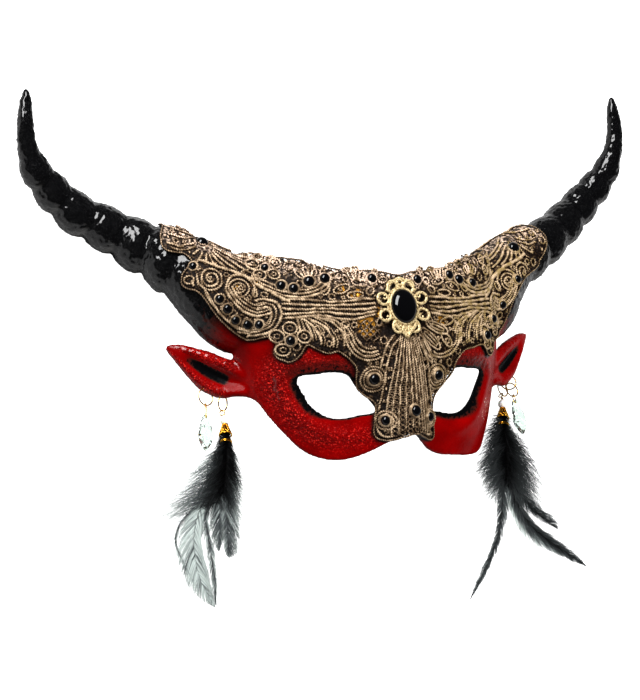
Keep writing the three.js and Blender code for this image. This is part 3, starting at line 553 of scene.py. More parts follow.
def paintBody(mesh, points):
    # shares of black, dry-brushed and lumpy paint at every vertex; the eyes' share also holds painted shade
    # above the eyes and along the lace's edge
    isRight = points[:, 0] >= 0
    across = np.stack([np.abs(points[:, 0]), points[:, 1]], 1)
    distance = outlineDistance(across, eyeLine)[0]
    corner = smoothstep(*paint["corner"], across[:, 0])
    above = smoothstep(*paint["above"], points[:, 1])
    below = smoothstep(*paint["below"], points[:, 1])
    reach = paint["eyeReach"] + paint["cornerReach"] * corner * (1 - above) + paint["lidReach"] * above
    reach = np.where(isRight, reach + paint["cheekReach"] * below, reach)
    eyes = smoothstep(1, 0, distance / reach) * smoothstep(*paint["front"], inFront(points))
    # painted shade: the hollow above each eye darkens towards brown-red
    shade, shadeTo, shadeFrom = paint["lidShade"]
    lid = shade * smoothstep(shadeTo, shadeFrom, distance) * above
    # painted shade: the shell darkens along the lace's edge, where the lace's shadow falls
    laced = outlineDistance(points[:, :2], laceEdge)[0]
    laced = paint["laceShade"] * smoothstep(*paint["laceReach"], laced)
    eyes = np.maximum(eyes, np.maximum(lid, laced))
    lumpsAt, lumpsWide = paint["lumps"]
    lumps = np.exp(-(((distance - lumpsAt) / lumpsWide) ** 2))
    lumps = lumps * np.maximum(corner, paint["cheekLumps"] * below)
    lumpsAt, lumpsWide, most = paint["lidLumps"]
    lumps = np.maximum(lumps * ~isRight, most * np.exp(-(((distance - lumpsAt) / lumpsWide) ** 2)) * above)
    hollows = np.zeros(len(points))
    for side in (-1, 1):
        hollow, rim = earValues(points, side)
        hollows, lumps = np.maximum(hollows, hollow), np.maximum(lumps, rim)
    black = hornValues(points)
    # painted reflection: grey on the black where the horns' undersides face that way
    under = vertexArray(mesh, "normal") @ np.array(paint["paintedReflection"])
    addValues(mesh, "horn", black)
    addValues(mesh, "paintedReflection", smoothstep(*paint["paintedReflectionFade"], under) * smoothstep(0.8, 1, black))
    addValues(mesh, "eyes", eyes)
    addValues(mesh, "lumps", lumps)
    addValues(mesh, "hollows", hollows)


def roughened(mesh, points):
    # knobs in the horns' skin, and lumps in the varnish round the left eye
    share, lumps, normals = valuesOf(mesh, "horn"), valuesOf(mesh, "lumps"), vertexArray(mesh, "normal")
    size, (strength, finer) = horn["knobSize"], paint["finer"]
    moved = points.copy()
    for k in np.flatnonzero((share > 0.05) | (lumps > 0.15)):
        place = Vector(points[k])
        knob = noise.noise(place / size) + strength * noise.noise(place / (finer * size))
        moved[k] += normals[k] * knob * (horn["knobs"] * share[k] + paint["lumpHeight"] * lumps[k])
    return moved


# Lace over the brow and the horn roots: a thin ground with corded threads sewn on it.
# The motifs are drawn on the left half: lines as (x, y), ovals as (x, y, wide, tall, turn).
lace = {
    "shift": 1.4, "overhang": 3, "ground": 1.05, "groundWall": 0.85, "cell": 0.9, "snap": 0.5,
    "thread": 0.62, "cordSides": 7, "cordWidth": 1.66, "cordRise": 0.95, "twist": 0.4,
    "threadDepth": 0.22, "drapeStep": 0.6, "sit": 0.12, "endSize": 0.35, "endLength": 0.9, "wrap": 1.2,
    "edge": [
        (1.4, 14.6), (13.4, 16.8), (25.4, 17.4), (35.4, 18), (45.4, 21.6), (57.4, 23.6), (67.4, 25),
        (77.4, 29.6), (91.4, 36.5), (106, 41), (119, 32.5), (113.5, 21.9), (109, 17), (96.4, 11.7),
        (89, 5), (82.6, -1.7), (79.9, -7.1), (73.4, -17.4), (63.5, -21.5), (62.7, -25.8), (58.6, -28.1),
        (52.3, -21.6), (43.9, -22.4), (37.9, -23.7), (32.1, -30.2), (30.6, -34.9), (20, -45.3),
        (17.7, -48.8), (16.7, -54.4), (17.1, -62.2), (16.8, -69), (11, -68.2), (5, -66), (1, -64.6),
        (-4, -66), (-9, -68), (-15.6, -66.4), (-15.9, -59.2), (-15.2, -49.5), (-21, -44.8),
        (-24, -41.6), (-25.2, -35.9), (-25.5, -30.7), (-31.8, -24.3), (-35.9, -21.8), (-40.4, -22.8),
        (-46.2, -20.7), (-50.3, -18.6), (-54.3, -24.8), (-58, -27.4), (-61, -26.4), (-63.5, -23.9),
        (-62.7, -17.7), (-65.5, -14.8), (-72.4, -16.8), (-76.2, -15.2), (-81.9, -11.5), (-87.1, -6.7),
        (-91.6, -0.9), (-94.7, 4.2), (-98, 8.5), (-103.3, 10.7), (-103.4, 16.8), (-99, 22.4),
        (-102, 26.8), (-111, 29.2), (-111, 35), (-105, 41), (-88.6, 36.5), (-74.6, 29.6), (-64.6, 25),
        (-54.6, 23.6), (-42.6, 21.6), (-32.6, 18), (-22.6, 17.4), (-10.6, 16.8)],
    "wingGem": (-91, 30.6),
    "wingRibs": [
        (212, (-104, 24)), (236, (-99.5, 21.8)), (258, (-94.5, 20.8)), (276, (-89, 20.5)),
        (293, (-83.5, 19.3)), (308, (-77, 17.2)), (322, (-70.5, 15.8)), (334, (-66.5, 17.4))],
    "wingLines": [
        [(-87, 33), (-78, 27.5), (-68, 23.5), (-59, 21.5)],
        [(-87.5, 30.5), (-79, 25), (-71, 21), (-66, 20)], [(-95, 31.5), (-103, 30), (-110.5, 32)],
        [(-95, 30), (-102, 28), (-109.5, 29.8)], [(-94.5, 33.5), (-101, 34), (-109, 36)],
        [(-93, 34.5), (-99, 36.5), (-106, 39)]],
    "rope": [(-97, 23.5), (-88, 19.6), (-80, 17), (-70, 12), (-62, 6), (-55, 2)], "curl": (-92, 14),
    "curlRadii": (6.4, 1.1), "curlTurns": 2.6,
    "paisley": [
        (-100.5, 14), (-98.5, 6), (-94, -2), (-88, -9), (-80, -14), (-71, -15), (-64, -12), (-60.5, -6),
        (-61, 1), (-66, 3.5), (-72, 2)],
    "paisleyOffsets": (0, 1.9, 3.8),
    "inner": [(-95, 9), (-92, 3), (-87, -4.5), (-80, -10.5), (-72, -12), (-66, -9.5), (-64, -5)],
    "leaf": [(-86, 9), (-82, 2), (-76, -3), (-69, -5), (-63.5, -3)], "leafOffsets": (0, 1.7, 3.4, 5),
    "ovals": [
        (-79, 9, 5.4, 4.3, 0), (-79, 9, 3.3, 2.4, 0), (-31, 8.4, 4.6, 2, 20),
        (-21.5, 11.4, 4, 1.7, -10), (-24.5, 5.4, 4.4, 1.6, 6), (-16.5, 7.2, 2.4, 1.7, 40),
        (-39, 8, 3, 1.8, 50), (-70.5, 6.8, 2.6, 1.5, 60), (-44, -12, 2.6, 1.4, -50),
        (-31.5, -9.4, 2.7, 1.5, 30), (-25, 17.6, 3.4, 1.4, 15), (-13, -8, 2.8, 1.4, 60),
        (-101.5, 13.6, 2, 2, 0), (-8.5, 12.6, 2.6, 1.4, 10), (-69, 26, 2.4, 1.3, -20)],
    "drop": [(-86, 8), (-83, 14), (-76, 15), (-71, 10), (-72, 4)],
    "scroll": [(-72, 14), (-66, 9), (-60, 6), (-52, 4.5), (-44, 5.5), (-38, 9), (-35, 13)],
    "scrollOffsets": (0, 1.8, 3.5),
    "loopRings": [
        ((-63.7, 19.6), 5, 4.8, 2.5, 20), ((-57, -17), 5, 5.9, 3.1, 18), ((-14, 15), 3, 3.6, 1.9, 30)],
    "shells": [((-46, 11), 8.5, 60, 130, 5), ((-23, 9), 9.5, 60, 110, 4), ((-33, 10), 6.5, 70, 130, 3)],
    "shellRoot": 3.4, "braid": [(-60, 0.5), (-45, 1), (-30, 0), (-13.5, 1.5)],
    "braidOffsets": (2.2, 0.1, -2, -4.1, -6.2),
    "ruffles": [
        [(-52, -6), (-47, -10), (-44, -17), (-44.5, -20)], [(-50.5, -8), (-48.5, -12), (-47.5, -18)],
        [(-49, -6), (-42, -10), (-38, -17), (-38.4, -21)],
        [(-46, -5), (-38, -8), (-33, -14), (-32.6, -21)],
        [(-42, -6), (-36, -7.5), (-31, -11), (-28.5, -16)], [(-54, -4), (-53, -9), (-52, -14)]],
    "scallop": (-19, -14), "scallopRadii": (7.6, 9.5, 11.4, 13.2), "scallopArc": (172, 300),
    "lattice": (5, 2.6, 6), "roundel": (-17, -37), "roundelRadii": (3.2, 4.8, 6.5),
    "lobe": (-11, -58.4), "lobeRadii": (3.2, 4.7),
    "lobeLine": [(-13, -50), (-15, -56), (-15, -63), (-11.5, -66.5), (-7, -66)], "fanRibs": 10,
    "fanTop": (-2.4, 5.4, -16), "fanFoot": (-11.6, 14.2, -64.5), "fillGap": 1.15, "fillShare": 0.88,
    "fillCount": 2200, "fillSpots": 26000, "fillRoom": 0.75, "fillMost": 2.1, "wander": 0.26,
    "swell": 0.2, "crumb": 0.3,
    "gilt": [
        (-20, -10, 6), (-14, -3, 3), (-24, 6, 3.4), (-31, 9, 3), (-70, 12, 2.5), (24, -9, 4),
        (-80, 9, 2.4)],
    # where the painted sheen along the upper edge begins
    "paintedSheenAbove": [(-110, 38), (-75, 26), (-50, 19), (0, 12), (50, 19), (75, 27), (120, 36)],
    "petals": [
        (15.5, -17.5, 8, 2.5, -42), (15.5, -17.5, 5.6, 1, -42), (12, -22.5, 8, 2.2, -60),
        (12, -22.5, 5.6, 0.9, -60), (20, -12, 7.4, 2.3, -22), (20, -12, 5, 0.9, -22),
        (26, -18.5, 4.2, 2.2, -50), (27, -9, 4.4, 2, 10)],
    "standing": [
        (-65.4, 24.6, 1.9, 1.6, 20), (-60.4, 23.8, 2, 1.5, -10), (-26.5, 17.6, 2.8, 1.2, 10),
        (-22.6, 18, 2.2, 1.4, 30), (-12, 16.8, 1.6, 1.4, 0), (14.8, 17.2, 1.5, 1.6, 20),
        (22, 17.2, 2.4, 1.4, -12), (35, 18.8, 2.6, 1.7, 12), (40, 20.4, 2.4, 1.6, 10),
        (48, 22.4, 2.6, 1.5, 10)],
    "sideRibs": [
        [(-3.6, -16), (-7.6, -22), (-10.4, -31), (-12, -43), (-13.6, -51)],
        [(-5, -14), (-9.6, -19.5), (-12.6, -27), (-13.8, -33)]],
}
laceEdge = smoothLine(lace["edge"], 6, True)


def spun(angle, wide, tall, turn):
    # points round an oval whose axes are turned by so many degrees
    way = pointing(turn)
    return np.stack([wide * np.cos(angle), tall * np.sin(angle)], 1) @ np.array([way, [-way[1], way[0]]])


def arcLine(x, y, radius, low, high, lastRadius=None, turn=0, count=24):
    size = np.linspace(radius, radius if lastRadius is None else lastRadius, count)
    return spun(np.radians(np.linspace(low, high, count)), size, size, turn) + (x, y)


def ovalLine(x, y, wide, tall, turn=0, count=20):
    return spun(np.linspace(0, 2 * np.pi, count, endpoint=False), wide, tall, turn) + (x, y)


def beside(line, offset):
    # the same line, moved to its left by offset
    run = np.gradient(line, axis=0)
    return line + unit(np.stack([-run[:, 1], run[:, 0]], 1)) * offset


def halfMotifs(isLeft):
    # the cords of one half, drawn on the left, as (line, width, rise, closed)
    cords = []

    def add(line, width=1, rise=1, closed=False):
        cords.append((np.asarray(line, float), width * lace["cordWidth"], rise * lace["cordRise"], closed))

    gem = np.array(lace["wingGem"])
    for angle, end in lace["wingRibs"]:
        way = pointing(angle)
        start = gem + 4 * way
        middle = (start + 4 * way + np.array(end)) / 2 + (0, -0.8)
        add(smoothLine([start, start + 2.4 * way, middle, end], 8), 0.8, 1.05)
    for line in lace["wingLines"]:
        add(smoothLine(line, 8), 0.9)
    add(smoothLine(lace["rope"], 8), 1.25, 1.35)
    wide, narrow = lace["curlRadii"]
    add(arcLine(*lace["curl"], wide, 150, 150 + 360 * lace["curlTurns"], narrow, count=70), 0.85)
    for key in ("paisley", "leaf", "scroll"):
        for k, offset in enumerate(lace[key + "Offsets"]):
            add(beside(smoothLine(lace[key], 8), offset), 0.9 + 0.12 * (k == 0), 1.2 if k == 0 else 0.95)
    add(smoothLine(lace["inner"], 8), 0.7, 1.1)
    add(smoothLine(lace["drop"], 8), 1, 1.1)
    for x, y, wide, tall, turn in lace["ovals"]:
        add(ovalLine(x, y, wide, tall, turn), 0.75, 1, True)
    for (x, y), count, reach, radius, start in lace["loopRings"]:
        for k in range(count):
            place = (x, y) + reach * pointing(start + 360 * k / count)
            add(ovalLine(*place, radius, radius), 0.75, 1.15, True)
            if radius > 2.2:
                add(ovalLine(*place, radius * 0.42, radius * 0.42, count=12), 0.6, 0.9, True)
    for (x, y), radius, low, high, count in lace["shells"]:
        for k in range(count):
            angle = low + (high - low) * k / (count - 1)
            place = (x, y) + (radius + lace["shellRoot"]) / 2 * pointing(angle)
            add(ovalLine(*place, (radius - lace["shellRoot"]) / 2, 1.1, angle, 14), 0.6, 1.1, True)
    for k, offset in enumerate(lace["braidOffsets"]):
        line = smoothLine(lace["braid"], 10) + (0, offset)
        line[:, 1] += 0.5 * np.sin(line[:, 0] / 5 + k)
        add(line, 1, 1.1)
    for line in lace["ruffles"]:
        add(smoothLine(line, 8), 1, 1.15)
        add(beside(smoothLine(line, 8), 1.7), 0.7, 0.85)
    for line in lace["sideRibs"]:
        add(smoothLine(line, 8), 0.8, 1.05)
    low, high = lace["scallopArc"]
    for k, radius in enumerate(lace["scallopRadii"][0 if isLeft else 2:]):
        add(arcLine(*lace["scallop"], radius, low, high), 0.95, 1 + 0.1 * (k % 2))
    for x, y, wide, tall, turn in [] if isLeft else lace["petals"]:
        add(ovalLine(2 * lace["shift"] - x, y, wide, tall, -turn, 26), 0.75, 1.1, True)
    count, gap, reach = lace["lattice"]
    for k in range(count if isLeft else 0):
        across = (k - (count - 1) / 2) * gap
        for turn in (40, 130):
            way = pointing(turn)
            middle = np.array(lace["scallop"]) + np.array([-way[1], way[0]]) * across + (0.5, 1.5)
            half = math.sqrt(max(0.5, reach ** 2 - across ** 2))
            add([middle - way * half, middle, middle + way * half], 0.5, 0.7)
    for key in ("roundel", "lobe"):
        for k, radius in enumerate(lace[key + "Radii"]):
            add(ovalLine(*lace[key], radius, radius, count=28), 0.85, 1.1 - 0.1 * k, True)
    add(smoothLine(lace["lobeLine"], 8), 0.9)
    return cords


def centreMotifs():
    # the fan under the brow stone, with rows of bead loops between its ribs
    cords = []
    count = lace["fanRibs"]
    (topWest, topEast, topY), (footWest, footEast, footY) = lace["fanTop"], lace["fanFoot"]

    def fanPoint(u, v):
        bend = 1 - (1 - v) ** 1.6
        x = (topWest + (topEast - topWest) * u) * (1 - bend) + (footWest + (footEast - footWest) * u) * bend
        foot = footY - 3.2 * abs(2 * u - 1)
        top = topY + 2 * abs(2 * u - 1) ** 2
        return np.array([x, top + (foot - top) * v])
    for k in range(count):
        line = np.array([fanPoint(k / (count - 1), v) for v in np.linspace(0, 1, 22)])
        cords.append((line, 1.15, 1.05, False))
        if k < count - 1:
            for v in np.linspace(0.3 if k % 2 else 0.27, 0.97, 15):
                x, y = fanPoint((k + 0.5) / (count - 1), v)
                size = 0.5 + 0.65 * v
                cords.append((ovalLine(x, y, size, size * 1.25, count=9), 0.7, 0.7, True))
    return cords


def threadPoints(cords):
    # points along all the cords, at even steps; a cord is (line, width, rise, closed)
    return np.concatenate([evenly(cord[0], 0.8, cord[3])[0] for cord in cords])


def nearestDistance(points, others):
    # distance from each flat point to the nearest of the others
    tree = nearTree(np.column_stack([others, np.zeros(len(others))]))
    return np.array([tree.find((x, y, 0))[2] for x, y in points])


def within(cords):
    # the parts of the cords that lie on the lace
    kept = []
    ends = np.cumsum([len(cord[0]) for cord in cords])[:-1]
    points = np.concatenate([cord[0] for cord in cords])
    isOn = insideOutline(points, laceEdge) & (outlineDistance(points, laceEdge)[0] > 0.5)
    for (line, width, rise, closed), ok in zip(cords, np.split(isOn, ends)):
        if ok.all() or closed and ok.mean() > 0.6:
            kept.append((line, width, rise, closed))
        elif not closed:
            cuts = np.flatnonzero(np.diff(np.concatenate([[False], ok, [False]]).astype(int)))
            kept += [(line[a:b], width, rise, False) for a, b in zip(cuts[::2], cuts[1::2]) if b - a > 3]
    return kept


def fillers(cords):
    # small rings where the motifs leave the ground bare, widest room first
    spots = random.uniform(laceEdge.min(0), laceEdge.max(0), (lace["fillSpots"], 2))
    spots = spots[insideOutline(spots, laceEdge)]
    free = np.minimum(outlineDistance(spots, laceEdge)[0], nearestDistance(spots, threadPoints(cords)))
    made = []
    for k in range(lace["fillCount"]):
        best = int(np.argmax(free))
        room, (x, y) = free[best], spots[best]
        if room < lace["fillGap"]:
            break
        reach = min(room - lace["fillRoom"], lace["fillMost"])
        if random.random() < lace["fillShare"]:
            tall = reach * random.uniform(0.75, 1)
            made.append((ovalLine(x, y, reach, tall, random.uniform(0, 180), 12), 1.25, 0.8, True))
            reach += lace["fillRoom"]
        else:
            reach = min(room, 1.5)
        free = np.minimum(free, np.maximum(np.hypot(*(spots - spots[best]).T) - reach, 0))
    return made


class Form:
    # the bare mask under the lace: places lines drawn from the front on it
    def __init__(self):
        sheet = sheetMesh(170, 90, faceSheet(0, lace["overhang"]))
        bm = merged([sheet, hornMesh("left"), hornMesh("right")])
        self.tree = BVHTree.FromBMesh(bm)
        bm.free()
        self.lines = []
        for side in ("left", "right"):
            line, run, radiusAt = hornLine(side)
            self.lines.append(np.concatenate([line, radiusAt(run)[:, None]], 1)[::6])

    def at(self, x, y):
        spot, normal = self.tree.ray_cast(Vector((x, y, 100)), Vector((0, 0, -1)))[:2]
        if spot is not None:
            return spot, normal
        deep = -10
        if abs(x) > 55:
            line = self.lines[0 if x < 0 else 1]
            near = np.hypot(line[:, 0] - x, line[:, 1] - y)
            k = int(np.argmin(near))
            deep = line[k, 2] - lace["wrap"] * max(0, near[k] - line[k, 3])
        return self.tree.find_nearest(Vector((x, y, deep)))[:2]

    def drape(self, line, isStanding=False):
        # the line on the mask; a standing one keeps its shape where it rises over the edge
        spots = np.array([self.at(x, y)[0][:] for x, y in line])
        if isStanding:
            spots[:, :2] = line
        return spots


def smoothed(values, times, closed):
    # each row drawn towards its two neighbours
    for step in range(times):
        before, after = np.roll(values, 1, axis=0), np.roll(values, -1, axis=0)
        if not closed:
            before[0], after[-1] = values[0], values[-1]
        values = (before + 2 * values + after) / 4
    return values


def tubesMesh(tubes, names):
    # many tubes as one grid cut between them; a tube is (rings of points, the values at those points)
    sides = tubes[0][0].shape[1] - 1
    ends = np.cumsum([len(points) for points, values in tubes])
    bm = bmesh.new()
    layers = [bm.verts.layers.float.new(name) for name in names]
    made = bmesh.ops.create_grid(bm, x_segments=sides, y_segments=int(ends[-1]) - 1, size=1)["verts"]
    places = np.concatenate([points.reshape(-1, 3) for points, values in tubes])
    numbers = np.concatenate([values.reshape(-1, len(names)) for points, values in tubes])
    for vert, co, row in zip(made, places, numbers):
        vert.co = co
        for layer, value in zip(layers, row):
            vert[layer] = value
    bm.faces.ensure_lookup_table()
    between = [bm.faces[(row - 1) * sides + k] for row in ends[:-1].tolist() for k in range(sides)]
    bmesh.ops.delete(bm, geom=between, context="FACES")
    return bm


def cordTube(form, line, width, rise, closed, isStanding=False):
    # the rings of one cord with its twisted threads, and their crest and thread values
    spots = form.drape(evenly(line, lace["drapeStep"], closed)[0], isStanding)
    spots = smoothed(spots[:-1], 2, True) if closed else smoothed(spots, 2, False)
    spots, at = evenly(spots, lace["thread"], closed)
    normals = np.array([form.tree.find_nearest(Vector(p))[1][:] for p in spots])
    normals = smoothed(normals[:-1], 4, True) if closed else smoothed(normals, 4, False)
    if closed:
        normals = np.concatenate([normals, normals[:1]])
    run = np.gradient(spots, axis=0)
    if closed:
        run[0] = run[-1] = spots[1] - spots[-2]
    run = unit(run)
    side = unit(np.cross(run, normals))
    out = np.cross(side, run)
    toEnd = np.minimum(at, at[-1] - at)
    taper = np.minimum(1, lace["endSize"] + (1 - lace["endSize"]) * toEnd / lace["endLength"])
    if closed:
        taper = np.ones(len(spots))
    thread = np.arange(len(spots)) % 2
    if closed:
        thread[-1] = thread[0]
    angle = 2 * np.pi * np.linspace(0, 1, lace["cordSides"] + 1) + 0.45
    wander = smoothed(random.normal(0, 1, (len(spots), 2)), 3, False) * (0.6 if closed else 1)
    if closed:
        wander[-1] = wander[0]
    size = taper * (1 + lace["threadDepth"] * (2 * thread - 1)) * (1 + lace["swell"] * wander[:, 0])
    size = size[:, None]
    across = np.cos(angle) * size * width / 2
    high = np.maximum(np.sin(angle) * size * rise, -0.3)
    middle = spots + out * (lace["ground"] + lace["sit"]) + side * (lace["wander"] * wander[:, 1:])
    points = middle[:, None] + across[..., None] * side[:, None] + high[..., None] * out[:, None]
    points = points + (lace["twist"] * np.cos(angle) * taper[:, None])[..., None] * run[:, None]
    crest = np.clip(high / lace["cordRise"], 0, 1.4)
    return points, np.stack([crest, np.broadcast_to(thread[:, None], crest.shape)], -1)


def cordObject(name, form, cords):
    tubes = [cordTube(form, *cord) for cord in cords]
    return toObject(sealed(tubesMesh(tubes, ("crest", "thread"))), name, laid)


def groundObject(form):
    # the sheet under the cords, cut to the lace's outline
    low, high = laceEdge.min(0) - 1, laceEdge.max(0) + 1
    span = high - low
    columns, rows = (span / lace["cell"]).astype(int).tolist()

    def place(i, j):
        return np.stack([i * span[0] + low[0], j * span[1] + low[1], 0 * i], 1)
    bm = sheetMesh(columns, rows, place)
    at = np.array([v.co[:2] for v in bm.verts])
    distance, near = outlineDistance(at, laceEdge)
    border = distance < lace["snap"] * lace["cell"]
    gone = [v for v, isOff in zip(bm.verts, ~insideOutline(at, laceEdge) & ~border) if isOff]
    for vert, place, snap in zip(bm.verts, near, border):
        if snap:
            vert.co.xy = place
    bmesh.ops.delete(bm, geom=gone, context="VERTS")
    for vert in bm.verts:
        spot, normal = form.at(*vert.co.xy)
        vert.co = spot + normal * (lace["ground"] + lace["crumb"] * random.uniform(-1, 0.6))
    obj = toObject(bm, "lace_ground")
    applied(obj, "SOLIDIFY", thickness=lace["groundWall"], offset=-1)
    return obj


def laceValues(mesh, cords=None):
    # how golden the lace is and where a painted sheen lies along its upper edge, and on its ground how near
    # a thread is and where it is gilt
    points = asWorn(vertexArray(mesh))
    x, y = points[:, 0], points[:, 1]
    addValues(mesh, "golden", smoothstep(5, 45, x))
    # painted sheen: a band along the lace's upper edge
    addValues(mesh, "paintedSheen", smoothstep(-7, 1, y - profile(lace["paintedSheenAbove"])(x)))
    if cords is None:
        return
    addValues(mesh, "near", smoothstep(2.6, 0.9, nearestDistance(points[:, :2], threadPoints(cords))))
    gilt = np.zeros(len(points))
    for giltX, giltY, reach in lace["gilt"]:
        gilt = np.maximum(gilt, smoothstep(reach, reach * 0.6, np.hypot(x - giltX, y - giltY)))
    addValues(mesh, "gilt", gilt)


# Places of the small pieces, read from their solids in millimetres
def piecePoints(name):
    points = vertexArray(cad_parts[name].data) * 1000
    return np.unique(np.round(points, 3), axis=0)


def pieceAxes(points):
    # middle and axes, from the one it spreads most along to the one it spreads least along
    middle = points.mean(0)
    axes = np.linalg.svd(points - middle, full_matrices=False)[2]
    return middle, axes


def towards(axis, way):
    return axis * (1 if axis @ np.asarray(way, float) >= 0 else -1)


def squareTo(axis, hint=(0, 0, 1)):
    # two directions across an axis, the second one nearest to hint
    side = unit(np.cross(axis, hint))
    return side, np.cross(side, axis)


def addTurned(bm, origin, axes, outline, sides, flat=1, twist=0):
    # an outline of (radius, height) turned round axes[2]; twist turns every other ring by a share of a side
    outline = np.array(outline, float)

    def place(i, j):
        k = np.round(j * (len(outline) - 1)).astype(int)
        angle = 2 * np.pi * (i + twist * (k % 2) / sides)
        radius, height = outline[k].T
        x, y = radius * np.cos(angle), flat * radius * np.sin(angle)
        return origin + (x[:, None] * axes[0] + y[:, None] * axes[1]) + height[:, None] * axes[2]
    addSheet(bm, sides, len(outline) - 1, place)


def addWire(bm, line, radius, sides=8, closed=False, up=(0, 0, 1), flat=1):
    # a wire along a line of points; flat is its thickness along up over its width
    line = np.asarray(line, float)
    if closed:
        line = np.concatenate([line, line[:1]])
    run = np.gradient(line, axis=0)
    if closed:
        run[0] = run[-1] = line[1] - line[-2]
    run = unit(run)
    side = unit(np.cross(run, up))
    out = np.cross(side, run)
    size = np.broadcast_to(radius, len(line))

    def place(i, j):
        k = np.round(j * (len(line) - 1)).astype(int)
        angle = 2 * np.pi * i
        x, y = size[k] * np.cos(angle), flat * size[k] * np.sin(angle)
        return line[k] + (x[:, None] * side[k] + y[:, None] * out[k])
    addSheet(bm, sides, len(line) - 1, place)


def ringLine(middle, u, v, radius, count):
    angle = np.linspace(0, 2 * math.pi, count, endpoint=False)
    return middle + radius * (np.cos(angle)[:, None] * u + np.sin(angle)[:, None] * v)


# Stones on the lace and their corded cups
gem = {
    "sides": 26, "rings": 9, "girdle": 0.16, "height": 0.94, "turns": 0.5,
    "cords": [(0.1, 0.34), (-0.7, 0.6)],  # level of each cord of the cup, and its distance from the stone
    "cup": 0.46, "cupDeep": 1.5, "cupTwist": (0.06, 0.13),  # how far each thread rises and swells
}


def gemObjects():
    # each stone stands where its solid does, on a cup of twisted cord
    stones, cups = bmesh.new(), bmesh.new()
    names = [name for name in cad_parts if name.startswith("gem_")]
    for name in names:
        points = piecePoints(name)
        middle, axes = pieceAxes(points)
        out = towards(axes[2], (0, 0, 1))
        high = (points - middle) @ out
        base = middle + out * high.min()
        flatWay = points - middle - high[:, None] * out
        radius = np.linalg.norm(flatWay, axis=1).max()
        u, v = squareTo(out, (0, 1, 0))
        turn = np.linspace(0, math.pi / 2, gem["rings"])
        dome = [(radius * 0.97, 0), (radius, gem["girdle"] * radius / 2)]
        rise = gem["height"] - gem["girdle"]
        dome += [(radius * math.cos(t), radius * (gem["girdle"] + rise * math.sin(t))) for t in turn]
        addTurned(stones, base, (u, v, out), dome, gem["sides"])
        steps = int(2 * math.pi * radius / gem["turns"]) * 2
        risen, swollen = gem["cupTwist"]
        for level, grow in gem["cords"]:
            line = ringLine(base + out * level, u, v, radius + grow, steps)
            line = line + out * (risen * np.cos(np.pi * np.arange(steps)))[:, None]
            size = gem["cup"] * (1 + swollen * np.cos(np.pi * np.arange(steps + 1)))
            addWire(cups, line, size, 7, True, out)
        under = [(radius + 0.3, -gem["cupDeep"]), (radius + 0.3, 0.1), (0.2, 0.1)]
        addTurned(cups, base - out * 0.12, (u, v, out), under, 14)
    return toObject(sealed(stones), "gems", inMetres), toObject(sealed(cups), "gem_cups", inMetres), names


# Brow stone and its open-work setting, drawn flat and then set on the brow
setting = {
    "stone": (7.45, 9.2, 5.6), "stoneRings": 14, "bezel": (7.75, 9.5), "bezelWire": 0.6,
    "reach": (11.9, 11.2), "loops": 8, "loop": (3.3, 2.9), "loopWire": 0.82,
    "crest": (12.9, 1.7), "crestWire": 0.7,
    "backing": [(-9.6, -15.4, 3, 0.4), (9.6, 12.4, 1.6, 0.9)],  # plates: both ends up the axis, half widths
    "curl": (9.8, 5.6, 1.5), "curlWire": 0.5, "beads": 30,
    "wires": [  # line on one side, steps, level, thickness from and to, sides
        ([(8.4, 8.2), (6.3, 11.6), (2.8, 14.2), (0, 15.4)], 6, 0.4, 1, 0.7, 7),
        ([(-6.2, -9.3), (-3.2, -12.4), (0, -16.4)], 8, 0.4, 1.15, 0.75, 8),
        ([(3.6, -9.9), (1.4, -11.6), (0.9, -13.6), (0, -14.6)], 6, 0.35, 0.62, 0.62, 7)],
    "bead": [(0, -0.45), (0.38, -0.3), (0.5, 0), (0.38, 0.34), (0, 0.45)],
    "knob": [(0, -1), (0.8, -0.5), (1, 0), (0.8, 0.55), (0, 0.8)],
    "knobs": [(0, -12.2, 0.85), (0, 14.9, 0.9), (0, -16.1, 0.7), (-2.2, 10.9, 0.7), (2.2, 10.9, 0.7)],
    "plate": [(0.8, -0.25), (1, -0.25), (1.06, 0), (1.0, 0.3), (0.8, 0.3), (0.8, -0.25)], "plateGrow": 1.2,
}


